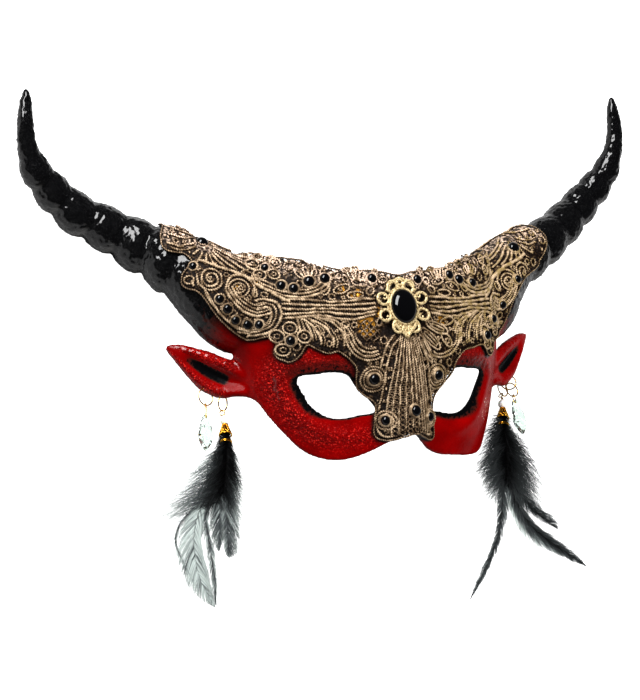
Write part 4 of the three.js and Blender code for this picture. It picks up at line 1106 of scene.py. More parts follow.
def browObjects():
    points = piecePoints("brow_stone")
    middle, axes = pieceAxes(points)
    out, up = towards(axes[2], (0, 0, 1)), towards(axes[0], (0, 1, 0))
    right = np.cross(up, out)
    base = middle + out * ((points - middle) @ out).min()
    local = np.stack([right, up, out])

    def onBrow(flat, level=0.0):
        # flat points on the brow, lifted by level
        return base + np.column_stack([np.asarray(flat, float), np.broadcast_to(level, len(flat))]) @ local

    wide, tall, high = setting["stone"]
    turn = np.linspace(0, math.pi / 2, setting["stoneRings"])
    dome = [(0.97, 0), (1, 0.05)] + [(math.cos(t) ** 0.85, 0.12 + 0.88 * math.sin(t) ** 1.1) for t in turn]
    stones = bmesh.new()
    addTurned(stones, base, (right * wide, up * tall, out * high), dome, 56)
    stone = toObject(sealed(stones), "brow_cabochon", inMetres)

    metal = bmesh.new()
    across, along = setting["bezel"]
    rim = onBrow(ovalLine(0, 0, across, along, count=64), 0.9)
    addWire(metal, rim, setting["bezelWire"], 8, True, out, 1.3)
    for low, top, lowWide, topWide in setting["backing"]:
        line = onBrow([(0, y) for y in np.linspace(low, top, 8)], 0.1)
        addWire(metal, line, np.linspace(lowWide, topWide, 8), 20, False, out, 0.12)
    for k in range(setting["beads"]):
        angle = 2 * math.pi * k / setting["beads"]
        spot = onBrow([((across + 0.75) * math.cos(angle), (along + 0.7) * math.sin(angle))], 0.45)[0]
        addTurned(metal, spot, local, setting["bead"], 8)
    for k in range(setting["loops"]):
        angle = 2 * math.pi * (k + 0.5) / setting["loops"]
        x, y = setting["reach"][0] * math.cos(angle), setting["reach"][1] * math.sin(angle)
        loop = ovalLine(x, y, *setting["loop"], math.degrees(math.atan2(y, x)), 30)
        levels = 0.45 + 0.25 * np.cos(np.linspace(0, 2 * np.pi, 30))
        addWire(metal, onBrow(loop, levels), setting["loopWire"], 8, True, out, 0.9)
    curlX, curlY, curl = setting["curl"]
    for side in (-1, 1):
        for y in (curlY, -curlY):
            line = arcLine(side * curlX, y, curl, 90, 400, curl / 3, 0 if side > 0 else 120, 22)
            addWire(metal, onBrow(line, 0.7), setting["curlWire"], 7, False, out)
        for places, steps, level, first, last, sides in setting["wires"]:
            line = smoothLine([(side * x, y) for x, y in places], steps)
            addWire(metal, onBrow(line, level), np.linspace(first, last, len(line)), sides, False, out, 0.8)
    y, radius = setting["crest"]
    line = ovalLine(0, y, radius, radius * 0.8, count=24)
    addWire(metal, onBrow(line, 0.5), setting["crestWire"], 8, True, out)
    for x, y, size in setting["knobs"]:
        addTurned(metal, onBrow([(x, y)], 0.5)[0], local, np.array(setting["knob"]) * size, 10)
    wide, tall = wide + setting["plateGrow"], tall + setting["plateGrow"]
    addTurned(metal, base, (right * wide, up * tall, out), setting["plate"], 48)
    return stone, toObject(sealed(metal), "brow_setting", inMetres)


# Wires, beads, crystals and caps of the earrings
drops = {
    "hoopWire": 0.36, "joint": [(0, -0.2), (0.46, -0.1), (0.5, 0.3), (0.46, 0.7), (0, 0.8)],
    "wire": 0.3, "pearl": 2.5, "eye": 1.4, "coil": (0.5, 0.2, 18),
    "cap": (1.3, 3.3, 6.2), "capRings": [(0.02, 0.42), (0.3, 0.26), (0.97, 0.42)],  # top, mouth and length
    "capWires": 9, "capWire": 0.26, "capLean": 0.42, "capLoop": (0.34, 0.13, 0.24), "bandLevel": 0.35,
    "crystal": [
        (0.9, 0), (1.7, 0.5), (2.5, 2.8), (3.5, 7.4), (4.2, 11.6), (3.7, 14.2), (2.6, 17), (1, 19.4),
        (0, 20)],
    "crystalFlat": 0.6,
}


def hoopObject():
    # the round wires through the ears, each with its joint
    bm = bmesh.new()
    names = [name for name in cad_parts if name.startswith("hoop_")]
    for name in names:
        points = piecePoints(name)
        middle, axes = pieceAxes(points)
        radius = np.linalg.norm(points - middle, axis=1).max() - drops["hoopWire"]
        line = ringLine(middle, axes[0], axes[1], radius, 72)
        addWire(bm, line, drops["hoopWire"], 10, True, axes[2])
        addTurned(bm, line[3] - axes[0] * 0.3, (axes[2], axes[1], axes[0]), drops["joint"], 8)
    return toObject(sealed(bm), "ear_hoops", inMetres), names


def dropObjects(side):
    # the metal, the pearl, the crystal and the cap on one ear
    metal = bmesh.new()
    bail, glass = piecePoints("bail_" + side), piecePoints("crystal_" + side)
    middle, axes = pieceAxes(bail)
    half = np.abs((bail - middle) @ axes[0]).max() - drops["wire"]
    tall = np.abs((bail - middle) @ axes[1]).max() - drops["wire"]
    link = ovalLine(0, 0, half, tall, count=40)
    addWire(metal, middle + link[:, :1] * axes[0] + link[:, 1:] * axes[1], drops["wire"], 8, True, axes[2])

    centre, axes = pieceAxes(glass)
    along = towards(axes[0], centre - middle)
    axes = np.stack([axes[1], np.cross(along, axes[1]), along])
    top = centre + along * ((glass - centre) @ along).min()
    crystals = bmesh.new()
    addTurned(crystals, top, axes, drops["crystal"], 10, drops["crystalFlat"], 0.5)
    crystal = toObject(sealed(crystals), "crystal_drop_" + side, inMetres)
    for polygon in crystal.data.polygons:
        polygon.use_smooth = False

    pearlAt = piecePoints("pearl_" + side).mean(0)
    bandAt = piecePoints("band_" + side).mean(0)
    down = unit(bandAt - pearlAt)
    u, v = squareTo(down)
    pearls = bmesh.new()
    size = drops["pearl"]
    ball = [(size * math.sin(t), -size * math.cos(t)) for t in np.linspace(0.12, 3.02, 20)]
    addTurned(pearls, pearlAt, (u, v, down), ball, 28)
    pearl = toObject(sealed(pearls), "pearl_bead_" + side, inMetres)

    hanger = piecePoints("hanger_" + side)
    high = (hanger - pearlAt) @ down
    tip = hanger[np.argmin(high)]
    eyePoints = hanger[np.linalg.norm(hanger - tip, axis=1) < 2 * (drops["eye"] + drops["wire"])]
    eyeAt, eyeAxes = pieceAxes(eyePoints)
    eyeRing = ringLine(eyeAt, eyeAxes[0], eyeAxes[1], drops["eye"], 36)
    addWire(metal, eyeRing, drops["wire"], 8, True, eyeAxes[2])
    foot = pearlAt - down * drops["pearl"]
    start = eyeAt + unit(foot - eyeAt) * drops["eye"]
    addWire(metal, [start, (start + foot) / 2, foot + down * 0.4], drops["wire"], 8, False, v)
    radius, wire, winding = drops["coil"]
    share = np.linspace(0, 1, 40)[:, None]
    coil = start + (foot - start) * share * 0.9
    coil = coil + radius * (np.cos(winding * share) * u + np.sin(winding * share) * v)
    addWire(metal, coil, wire, 6, False, down)
    wires = toObject(sealed(metal), "ear_wires_" + side, inMetres)

    gold = bmesh.new()
    narrow, mouth, length = drops["cap"]
    capTop = pearlAt + down * (drops["pearl"] + 0.3)

    def onCone(angle, share, grow=0.0):
        # on the cap: round it by angle, down it by share
        radius = narrow + (mouth - narrow) * share + grow
        return capTop + down * (length * share) + radius * (math.cos(angle) * u + math.sin(angle) * v)
    for share, wire in drops["capRings"]:
        line = [onCone(angle, share) for angle in np.linspace(0, 2 * math.pi, 40, endpoint=False)]
        addWire(gold, line, wire, 7, True, down)
    loopWide, loopTall, loopWire = drops["capLoop"]
    for k in range(drops["capWires"]):
        angle = 2 * math.pi * k / drops["capWires"]
        for lean in (-drops["capLean"], drops["capLean"]):
            shares = np.linspace(0.03, 0.97, 16)
            line = [onCone(angle + lean * math.sin(4.2 * share), share, 0.08) for share in shares]
            addWire(gold, line, drops["capWire"], 6, False, down)
        ring = [onCone(angle + loopWide * math.cos(t), 0.62 + loopTall * math.sin(t), 0.16)
                for t in np.linspace(0, 2 * math.pi, 14, endpoint=False)]
        addWire(gold, ring, loopWire, 6, True, down)
    bands = piecePoints("band_" + side)
    radius = (np.linalg.norm(bands - bandAt, axis=1).max() - drops["wire"]) * 0.97
    for level in (-drops["bandLevel"], drops["bandLevel"]):
        addWire(gold, ringLine(bandAt + down * level, u, v, radius, 40), drops["wire"] * 0.9, 7, True, down)
    cap = toObject(sealed(gold), "feather_cap_" + side, inMetres)
    lining = bmesh.new()
    inside = [(0, 0.2), (narrow - 0.35, 0.2), (mouth - 0.75, length - 0.6), (0, length - 0.6)]
    addTurned(lining, capTop, (u, v, down), inside, 20)
    return wires, crystal, pearl, cap, toObject(sealed(lining), "cap_lining_" + side, inMetres)


# Feathers: a shaft on the table, and how far its barbs reach to the west (-x) and the east along it
plumes = {
    "left": [
        {"line": [(-85.4, -41, 3.4), (-87, -48, 3.6), (-90, -60, 3.4), (-94.5, -74, 2.4)], "shaft": 0.4,
         "west": [(0, 6), (0.15, 8.5), (0.3, 12), (0.55, 16), (1, 19)],
         "east": [(0, 6), (0.15, 8.5), (0.3, 12), (0.6, 14), (1, 11)], "sweep": (42, 14), "count": 820,
         "width": 0.18, "loose": 0.5, "deep": 2.6, "tone": (0, 0.2)},
        {"line": [(-87, -48, 3), (-90, -58, 2.8), (-94, -70, 2.2), (-98, -79, 1.6)], "shaft": 0.2,
         "west": [(0, 12), (0.3, 26), (0.65, 38), (1, 36)],
         "east": [(0, 9), (0.4, 17), (0.8, 20), (1, 12)], "sweep": (54, 36), "count": 460,
         "width": 0.13, "loose": 0.5, "deep": 1.8, "tone": (0.1, 0.78)},
        {"line": [(-92, -62, 1.9), (-96, -78, 1.6), (-99, -91, 1.2), (-101.7, -103.6, 0.7)],
         "shaft": 0.26, "west": [(0, 13), (0.4, 13), (0.75, 8), (1, 1)],
         "east": [(0, 10), (0.5, 9), (0.85, 3.6), (1, 0.6)], "sweep": (28, 15), "count": 400,
         "width": 0.18, "loose": 0.2, "deep": 0.5, "tone": (0.36, 0.66)},
        {"line": [(-90.5, -60, 2.3), (-92.6, -77, 1.9), (-95.2, -93, 1.4), (-97.9, -107, 0.8)],
         "shaft": 0.26, "west": [(0, 8), (0.5, 8), (0.85, 4), (1, 0.6)],
         "east": [(0, 12), (0.4, 15), (0.75, 11), (0.9, 6), (1, 1)], "sweep": (31, 16), "count": 420,
         "width": 0.18, "loose": 0.22, "deep": 0.5, "tone": (0.34, 0.62)},
        {"line": [(-101, -72, 1.4), (-107.4, -81, 1.2), (-112.6, -91, 1), (-115.6, -105, 0.9),
                  (-114.9, -120, 0.8), (-110.2, -132.6, 0.6)],
         "shaft": 0.3, "west": [(0, 6), (0.25, 15), (0.45, 18), (0.7, 12), (0.9, 5), (1, 0.5)],
         "east": [(0, 5), (0.2, 15), (0.45, 19), (0.7, 12), (0.9, 4), (1, 0.4)], "sweep": (31, 12),
         "count": 640, "width": 0.2, "loose": 0.09, "deep": 0.25, "tone": (0.66, 0.8)},
        {"line": [(-104, -76, 1), (-113, -82, 0.8), (-121, -89.5, 0.7), (-124.4, -98, 0.6),
                  (-122.6, -108, 0.6), (-117.5, -122, 0.5)],
         "shaft": 0.24, "west": [(0, 1.5), (0.4, 2), (1, 5)], "east": [(0, 3), (0.5, 5), (1, 2)],
         "sweep": (24, 16), "count": 150, "width": 0.15, "loose": 0.25, "deep": 0.2, "tone": (0.4, 0.8)},
        {"line": [(-101, -75, 1.5), (-106, -88, 1.3), (-106.6, -104, 1.1), (-107.6, -118, 1),
                  (-109.6, -131.8, 0.7)],
         "shaft": 0.26, "west": [(0, 5), (0.5, 8), (0.85, 5), (1, 0.5)],
         "east": [(0, 5), (0.3, 8), (0.6, 6), (1, 1)], "sweep": (22, 10), "count": 240, "width": 0.16,
         "loose": 0.22, "deep": 0.3, "tone": (0.36, 0.74)}],
    "right": [
        {"line": [(79.8, -40, 3.4), (77.8, -47, 3.6), (75.5, -60, 3.2), (71.7, -77, 1.8)], "shaft": 0.4,
         "west": [(0, 6), (0.12, 9), (0.3, 14), (0.55, 18), (0.85, 14), (1, 8)],
         "east": [(0, 6), (0.12, 10), (0.3, 18), (0.55, 24), (0.85, 20), (1, 10)], "sweep": (56, 22),
         "count": 1250, "width": 0.16, "loose": 0.95, "deep": 3, "tone": (0, 0.34)},
        {"line": [(78, -50, 2.8), (76, -60, 2.6), (74, -71, 2.2), (72.5, -80, 1.6)], "shaft": 0.2,
         "west": [(0, 12), (0.5, 18), (1, 19)], "east": [(0, 14), (0.5, 26), (1, 24)],
         "sweep": (52, 22), "count": 380, "width": 0.12, "loose": 0.7, "deep": 1.8,
         "tone": (0.06, 0.55)},
        {"line": [(72, -70, 1.8), (69.3, -81.3, 1.5), (65.1, -94.1, 1.2), (58.6, -108.5, 1),
                  (48, -123.4, 0.8), (33.8, -140.2, 0.6)],
         "shaft": 0.34, "west": [(0, 7), (0.15, 9), (0.35, 6), (0.8, 4.4), (1, 0.4)],
         "east": [(0, 8), (0.15, 12), (0.35, 7), (0.8, 4), (1, 0.4)], "sweep": (24, 14), "count": 520,
         "width": 0.17, "loose": 0.2, "deep": 0.4, "tone": (0.2, 0.5)},
        {"line": [(73.5, -74, 1.7), (76, -92, 1.4), (81.3, -103.6, 1.1), (90, -112.4, 0.9),
                  (99, -119.8, 0.8), (109.2, -127.5, 0.6)],
         "shaft": 0.32, "west": [(0, 4), (0.2, 9), (0.5, 10), (0.8, 6), (1, 0.4)],
         "east": [(0, 6), (0.2, 13), (0.45, 15), (0.8, 7), (1, 0.4)], "sweep": (27, 12), "count": 520,
         "width": 0.17, "loose": 0.22, "deep": 0.35, "tone": (0.1, 0.42)},
        {"line": [(74, -72, 2.2), (78, -84, 1.8), (85, -94.5, 1.4), (97.2, -105.6, 0.8)], "shaft": 0.26,
         "west": [(0, 5), (0.5, 6), (1, 0.5)], "east": [(0, 11), (0.4, 14), (0.8, 8), (1, 0.5)],
         "sweep": (32, 14), "count": 320, "width": 0.16, "loose": 0.3, "deep": 0.5, "tone": (0.1, 0.46)},
        {"line": [(72, -72, 1), (74.5, -90, 0.8), (79, -103, 0.7), (90, -114, 0.6), (100, -121.4, 0.5)],
         "shaft": 0.2, "west": [(0, 4), (0.3, 12), (0.7, 9), (1, 1)],
         "east": [(0, 3), (0.5, 5), (1, 1)], "sweep": (27, 14), "count": 360, "width": 0.19,
         "loose": 0.1, "deep": 0.2, "tone": (0.68, 0.84)}],
    "stations": 6, "lowest": 0.12, "tuft": 9, "share": 0.88,
    # how barbs stray: each alone and a tuft together, in length and its limits, and by degrees
    "stray": (0.62, 0.8), "uneven": (0.34, 0.4, 1.5), "turned": 14, "curled": 20, "droop": 0.45,
}


def barbTubes(line, heading, side, plume):
    # tapered barbs that leave the shaft to one side and bend towards its end
    stations = plumes["stations"]
    count = int(plume["count"] * plumes["share"]) // 1
    at = (np.arange(count) + random.random(count)) / count
    k = (at * (len(line) - 1)).astype(int)
    root, way = line[k], heading[k]
    tuft = (at * max(4, count / plumes["tuft"])).astype(int)
    together = random.normal(0, 1, (tuft[-1] + 1, 5, 1))[tuft]
    alone, inTuft = plumes["stray"]
    wobble = alone * random.normal(0, 1, (count, 5, 1)) + inTuft * together
    uneven, shortest, longest = plumes["uneven"]
    spread = np.clip(1 + uneven * plume["loose"] * wobble[:, 0], shortest, longest)
    reach = profile(plume["west" if side > 0 else "east"])(at)[:, None] * spread
    share = np.linspace(0, 1, stations)[None]
    first, last = plume["sweep"]
    angle = np.radians(first + plumes["turned"] * plume["loose"] * wobble[:, 1] + (last - first) * share)
    curl = np.radians(plumes["curled"] * plume["loose"] * wobble[:, 2])
    angle = angle + curl * np.sin(3 * share + wobble[:, 3])
    west = np.stack([way[:, 1], -way[:, 0]], 1)
    steps = np.cos(angle)[..., None] * way[:, None, :2] + side * np.sin(angle)[..., None] * west[:, None]
    walked = np.concatenate([np.zeros((count, 1, 2)), np.cumsum(steps[:, :-1], axis=1)], 1)
    flat = root[:, None, :2] + walked * reach[..., None] / (stations - 1)
    start = root[:, 2:] + plume["deep"] * random.uniform(-0.5, 0.5, (count, 1))
    high = start + share * way[:, 2:] * reach * 0.6
    high = high + 0.5 * plume["deep"] * wobble[:, 4] * np.sin(2.6 * share)
    high = np.maximum(high * (1 - plumes["droop"] * share), plumes["lowest"])
    middle = np.concatenate([flat, high[..., None]], 2)
    size = plume["width"] * np.maximum(1 - share ** 1.6, 0.16) * np.ones((count, 1))
    low, top = plume["tone"]
    tone = np.clip(low + (top - low) * share ** 0.8 + 0.08 * wobble[:, 0] * (0.3 + low + top), 0, 1)
    across = np.stack([-steps[..., 1], steps[..., 0], 0 * steps[..., 0]], -1)
    turn = 2 * np.pi * np.linspace(0, 1, 4)
    points = middle[:, :, None] + (size[..., None] * np.cos(turn))[..., None] * across[:, :, None]
    points[..., 2] += 0.35 * size[..., None] * np.sin(turn)
    values = np.broadcast_to(tone[:, :, None, None], (count, stations, 4, 1))
    return [(points[n], values[n]) for n in range(count)]


def shaftTube(line, size):
    turn = 2 * np.pi * np.linspace(0, 1, 4)
    across = unit(np.gradient(line, axis=0)[:, [1, 0, 2]] * [-1, 1, 0])
    points = line[:, None] + (size[:, None] * np.cos(turn))[..., None] * across[:, None]
    points[..., 2] += size[:, None] * np.sin(turn)
    return points, np.zeros((*points.shape[:2], 1))


def featherObject(side):
    # the feathers under one cap
    shift = np.array([*lying["shift"][:2], 0])
    tubes = []
    for plume in plumes[side]:
        line, run = evenly(smoothLine(plume["line"], 12) + shift, 0.5)
        heading = unit(np.gradient(line, axis=0))
        tubes.append(shaftTube(line, plume["shaft"] * (1 - 0.8 * run / run[-1])))
        for way in (1, -1):
            tubes += barbTubes(line, heading, way, plume)
    return toObject(sealed(tubesMesh(tubes, ("tone",))), "plumes_" + side, inMetres)


# Shader helpers
def addNode(tree, kind, values=None, **settings):
    # values go by socket, as plain numbers or as links
    node = tree.nodes.new(kind)
    for name, value in settings.items():
        setattr(node, name, value)
    for socket, value in (values or {}).items():
        if isinstance(value, bpy.types.NodeSocket):
            tree.links.new(value, node.inputs[socket])
        else:
            node.inputs[socket].default_value = value
    return node


def maths(tree, operation, first, second):
    return addNode(tree, "ShaderNodeMath", {0: first, 1: second}, operation=operation).outputs[0]


def scaled(tree, value, factor, offset):
    values = {0: value, 1: factor, 2: offset}
    return addNode(tree, "ShaderNodeMath", values, operation="MULTIPLY_ADD").outputs[0]


def mixed(tree, share, first, second):
    # a colour between two, by a share
    node = addNode(tree, "ShaderNodeMix", data_type="RGBA")
    for index, value in ((0, share), (6, first), (7, second)):
        if isinstance(value, bpy.types.NodeSocket):
            tree.links.new(value, node.inputs[index])
        else:
            node.inputs[index].default_value = value if index == 0 else (*value, 1)
    return node.outputs[2]


def between(tree, value, low, high, smooth=True):
    node = addNode(tree, "ShaderNodeMapRange", {"Value": value, "From Min": low, "From Max": high})
    node.interpolation_type = "SMOOTHSTEP" if smooth else "LINEAR"
    return node.outputs[0]


def attributes(tree, *names):
    return [addNode(tree, "ShaderNodeAttribute", attribute_name=name).outputs["Fac"] for name in names]


def newGroup(name, inputs, outputs):
    group = bpy.data.node_groups.new(name, "ShaderNodeTree")
    for label, value in inputs.items():
        socket = group.interface.new_socket(label, in_out="INPUT", socket_type="NodeSocketFloat")
        socket.default_value = value
    for label in outputs:
        group.interface.new_socket(label, in_out="OUTPUT", socket_type="NodeSocketFloat")
    return group, group.nodes.new("NodeGroupInput"), group.nodes.new("NodeGroupOutput")


def grainGroup():
    # noise with grains of a size in millimetres, stretched to fill 0 to 1
    group, given, result = newGroup("grain", {"Size": 1, "Detail": 3}, ["Grain"])
    values = {
        "Vector": addNode(group, "ShaderNodeTexCoord").outputs["Object"],
        "Scale": maths(group, "DIVIDE", 1000, given.outputs["Size"]),
        "Detail": given.outputs["Detail"],
    }
    cloud = addNode(group, "ShaderNodeTexNoise", values).outputs[0]
    group.links.new(between(group, cloud, 0.28, 0.72, False), result.inputs["Grain"])
    return group


grainTree = grainGroup()


def grain(tree, size, detail=3.0):
    values = {"Size": size, "Detail": detail}
    return addNode(tree, "ShaderNodeGroup", values, node_tree=grainTree).outputs[0]


def dryBrushGroup():
    # where paint dragged over the surface holds on: cover from 0 to 1, in streaks of a size
    group, given, result = newGroup("dry_brush", {"Cover": 0.5, "Size": 2, "Edge": 0.12}, ["Mask"])
    streaks = grain(group, given.outputs["Size"], 5)
    cover = scaled(group, given.outputs["Cover"], 1.3, -0.15)
    low = maths(group, "SUBTRACT", streaks, given.outputs["Edge"])
    high = maths(group, "ADD", streaks, given.outputs["Edge"])
    group.links.new(between(group, cover, low, high), result.inputs["Mask"])
    return group


brushTree = dryBrushGroup()


def dryBrush(tree, cover, size, edge=0.12):
    values = {"Cover": cover, "Size": size, "Edge": edge}
    return addNode(tree, "ShaderNodeGroup", values, node_tree=brushTree).outputs[0]


def bumped(tree, height, distance, normal=None):
    # a bump that is distance millimetres high
    values = {"Height": height, "Distance": distance / 1000, "Strength": 1}
    if normal is not None:
        values["Normal"] = normal
    return addNode(tree, "ShaderNodeBump", values).outputs[0]


shaderSockets = {
    "colour": "Base Color", "roughness": "Roughness", "metallic": "Metallic", "coat": "Coat Weight",
    "coatRoughness": "Coat Roughness", "specular": "Specular IOR Level", "ior": "IOR",
    "transmission": "Transmission Weight", "subsurface": "Subsurface Weight", "normal": "Normal",
}


def newMaterial(name, **plain):
    # plain values go straight on the shader's sockets
    material = bpy.data.materials.new(name)
    material.use_nodes = True
    shader = material.node_tree.nodes["Principled BSDF"]
    for label, value in plain.items():
        socket = shader.inputs[shaderSockets[label]]
        socket.default_value = (*value, 1) if label == "colour" else value
    return material, material.node_tree, shader


def plug(tree, shader, **made):
    for label, value in made.items():
        tree.links.new(value, shader.inputs[shaderSockets[label]])


colours = {
    # among these, the bright red glints, the grey under the horns, the lace's dark foot, its pale crest and
    # its pink sheen are painted light
    "red": (0.2, 0.0003, 0.0006), "deepRed": (0.11, 0.0002, 0.0004), "brownRed": (0.03, 0.008, 0.006),
    "glintRed": (0.62, 0.03, 0.02), "black": (0.0022, 0.0022, 0.0026),
    "reflectionGrey": (0.026, 0.025, 0.023), "recessShade": (0.006, 0.003, 0.002), "bronze": (0.09, 0.055, 0.03),
    "tan": (0.17, 0.116, 0.068), "highlightTan": (0.52, 0.39, 0.26), "goldTan": (0.3, 0.215, 0.095),
    "sheenPink": (0.8, 0.6, 0.46), "gilt": (0.62, 0.3, 0.05), "cream": (0.7, 0.56, 0.32),
    "creamDark": (0.2, 0.13, 0.055), "featherBlack": (0.0015, 0.0015, 0.0018),
    "featherGrey": (0.07, 0.078, 0.08), "featherPale": (0.42, 0.47, 0.45),
}


def lacquerMaterial():
    # red varnish, painted black and brushed out on the horns, round the eyes and in the ears, with painted
    # shade above the eyes and along the lace, a painted grey reflection under the horns and painted glints
    # in the lumpy varnish
    material, tree, shader = newMaterial("red_lacquer", coatRoughness=0.1, specular=0.05)
    horn, eyes, lumps, hollows, paintedReflection = attributes(tree, "horn", "eyes", "lumps", "hollows", "paintedReflection")
    red = mixed(tree, grain(tree, 14, 4), colours["red"], colours["deepRed"])
    # painted glints: bright red specks on the lumpy varnish
    paintedGlint = between(tree, grain(tree, 0.9, 2), 0.62, 0.9)
    red = mixed(tree, maths(tree, "MULTIPLY", paintedGlint, lumps), red, colours["glintRed"])
    # black paint, and painted shade above the eyes and along the lace, darken the red towards brown-red
    shade = maths(tree, "MAXIMUM", horn, maths(tree, "MAXIMUM", eyes, hollows))
    base = mixed(tree, between(tree, shade, 0.02, 0.5), red, colours["brownRed"])
    brush = maths(tree, "MAXIMUM", dryBrush(tree, horn, 4), dryBrush(tree, eyes, 1.6))
    brush = maths(tree, "MAXIMUM", brush, dryBrush(tree, hollows, 1.4))
    # painted reflection: grey instead of black on the horns' undersides
    black = mixed(tree, paintedReflection, colours["black"], colours["reflectionGrey"])
    rough = maths(tree, "MAXIMUM", lumps, maths(tree, "MULTIPLY", horn, 0.8))
    rough = scaled(tree, maths(tree, "MULTIPLY", rough, maths(tree, "SUBTRACT", 1, paintedReflection)), 1, 0.035)
    coarse = bumped(tree, maths(tree, "MULTIPLY", grain(tree, 2.1, 3), rough), 0.95)
    plug(tree, shader, colour=mixed(tree, brush, base, black),
         roughness=scaled(tree, grain(tree, 3, 4), 0.16, 0.2),
         coat=scaled(tree, maths(tree, "MAXIMUM", horn, lumps), 0.75, 0.03),
         normal=bumped(tree, maths(tree, "MULTIPLY", grain(tree, 0.7, 2), rough), 0.4, coarse))
    return material


def laceColour(tree, high):
    # painted shade at the foot of a thread and a painted highlight on its crest, more golden to the right
    golden, paintedSheen = attributes(tree, "golden", "paintedSheen")
    gold = mixed(tree, golden, colours["tan"], colours["goldTan"])
    pale = mixed(tree, paintedSheen, colours["highlightTan"], colours["sheenPink"])
    # painted highlight: pale on the crests, broken up by noise
    highlightBreaks = between(tree, grain(tree, 3.2, 4), 0.2, 0.66)
    paintedHighlight = maths(tree, "MULTIPLY", between(tree, high, 0.6, 0.98), highlightBreaks)
    body = mixed(tree, between(tree, high, 0.12, 0.62), colours["recessShade"], colours["bronze"])
    body = mixed(tree, between(tree, high, 0.48, 0.92), body, gold)
    return mixed(tree, paintedHighlight, body, pale)


def cordMaterial():
    material, tree, shader = newMaterial("bronze_lace", metallic=0.3, specular=0.35)
    crest, thread = attributes(tree, "crest", "thread")
    # painted shade and highlight: the colour follows the height over the cord, with the swollen threads
    # lighter
    high = scaled(tree, thread, 0.22, maths(tree, "SUBTRACT", crest, 0.1))
    high = maths(tree, "ADD", high, scaled(tree, grain(tree, 1.1, 3), 0.3, -0.17))
    plug(tree, shader, colour=laceColour(tree, high),
         roughness=scaled(tree, grain(tree, 1.6, 3), 0.25, 0.36),
         normal=bumped(tree, grain(tree, 0.45, 3), 0.12))
    return material


def groundMaterial():
    # net darkened away from the threads as painted shade between the cords, gilt in places, with a painted
    # pink sheen along the upper edge
    material, tree, shader = newMaterial("lace_ground", specular=0.3)
    near, gilt, paintedSheen = attributes(tree, "near", "gilt", "paintedSheen")
    net = grain(tree, 1.3, 4)
    # painted shade: the net darkens away from the threads, between the cords
    high = maths(tree, "MULTIPLY", maths(tree, "MULTIPLY", between(tree, net, 0.4, 0.9), 0.6), near)
    leaf = maths(tree, "MULTIPLY", gilt, between(tree, grain(tree, 2.4, 4), 0.3, 0.6))
    # painted sheen: pink along the upper edge
    sheenSpots = maths(tree, "MULTIPLY", paintedSheen, between(tree, grain(tree, 1.8, 4), 0.42, 0.95))
    colour = mixed(tree, sheenSpots, laceColour(tree, high), colours["sheenPink"])
    plug(tree, shader, colour=mixed(tree, leaf, colour, colours["gilt"]),
         metallic=maths(tree, "MULTIPLY", leaf, 0.8),
         roughness=between(tree, leaf, 1.6, -0.6, False), normal=bumped(tree, net, 0.5))
    return material


def filigreeMaterial():
    material, tree, shader = newMaterial("filigree", metallic=0.45)
    spots = between(tree, grain(tree, 0.8, 3), 0.2, 0.55)
    plug(tree, shader, colour=mixed(tree, spots, colours["creamDark"], colours["cream"]),
         roughness=between(tree, grain(tree, 1.5, 3), 1.4, -1.2, False),
         normal=bumped(tree, grain(tree, 0.7, 3), 0.16))
    return material


def featherMaterial():
    material, tree, shader = newMaterial("feather", roughness=0.5, specular=0.08)
    tone = attributes(tree, "tone")[0]
    greying = between(tree, tone, 0.08, 0.45, False)
    dark = mixed(tree, greying, colours["featherBlack"], colours["featherGrey"])
    plug(tree, shader, colour=mixed(tree, between(tree, tone, 0.4, 0.9), dark, colours["featherPale"]))
    return material


plainLooks = {
    "stone": ("black_stone", {"colour": (0.0015, 0.0015, 0.002), "roughness": 0.05, "specular": 0.4}),
    "gold": ("gold_wire", {"colour": (0.82, 0.56, 0.2), "roughness": 0.2, "metallic": 1}),
    "cap": ("gold_cap", {"colour": (0.85, 0.46, 0.05), "roughness": 0.22, "metallic": 1}),
    "crystal": (
        "clear_crystal", {"colour": (0.66, 0.77, 0.71), "roughness": 0.0, "ior": 1.55, "transmission": 1}),
    "pearl": ("pearl", {"colour": (0.86, 0.83, 0.79), "roughness": 0.16, "coat": 0.5, "subsurface": 0.1}),
}
looks = {
    "lacquer": lacquerMaterial(),
    "cord": cordMaterial(),
    "ground": groundMaterial(),
    "filigree": filigreeMaterial(),
    "feather": featherMaterial(),
    **{key: newMaterial(name, **plain)[0] for key, (name, plain) in plainLooks.items()},
}


# The build, piece by piece
body = moulded()
shaped = vertexArray(body.data)
paintBody(body.data, shaped)
shaped = roughened(body.data, shaped)
setVertices(body.data, laid(shaped))
finished(body, looks["lacquer"], "red_lacquer", "mask_body")
print("mask shell", len(body.data.polygons))

form = Form()
half = within(halfMotifs(True))
mirror = within([(line * [-1, 1] + [2 * lace["shift"], 0], *rest) for line, *rest in halfMotifs(False)])
middle = within(centreMotifs())
for cord in fillers(half + mirror + middle):
    (half if cord[0][:, 0].mean() < lace["shift"] else mirror).append(cord)
middle.append((beside(laceEdge, 0.4), 1, 0.7, True))
for x, y, wide, tall, turn in lace["standing"]:
    middle.append((ovalLine(x, y, wide, tall, turn), 1.3, 0.9, True, True))
    middle.append((ovalLine(x, y, wide * 0.45, tall * 0.45, turn, 12), 1.1, 0.8, True, True))
for name, cords in (("lace_cords_left", half), ("lace_cords_right", mirror), ("lace_cords_middle", middle)):
    obj = cordObject(name, form, cords)
    laceValues(obj.data)
    finished(obj, looks["cord"], "bronze_lace", "lace_overlay")
    print(name, len(obj.data.polygons))
ground = groundObject(form)
setVertices(ground.data, laid(vertexArray(ground.data)))
laceValues(ground.data, half + mirror + middle)
finished(ground, looks["ground"], "bronze_lace", "lace_overlay")
print("lace ground", len(ground.data.polygons))

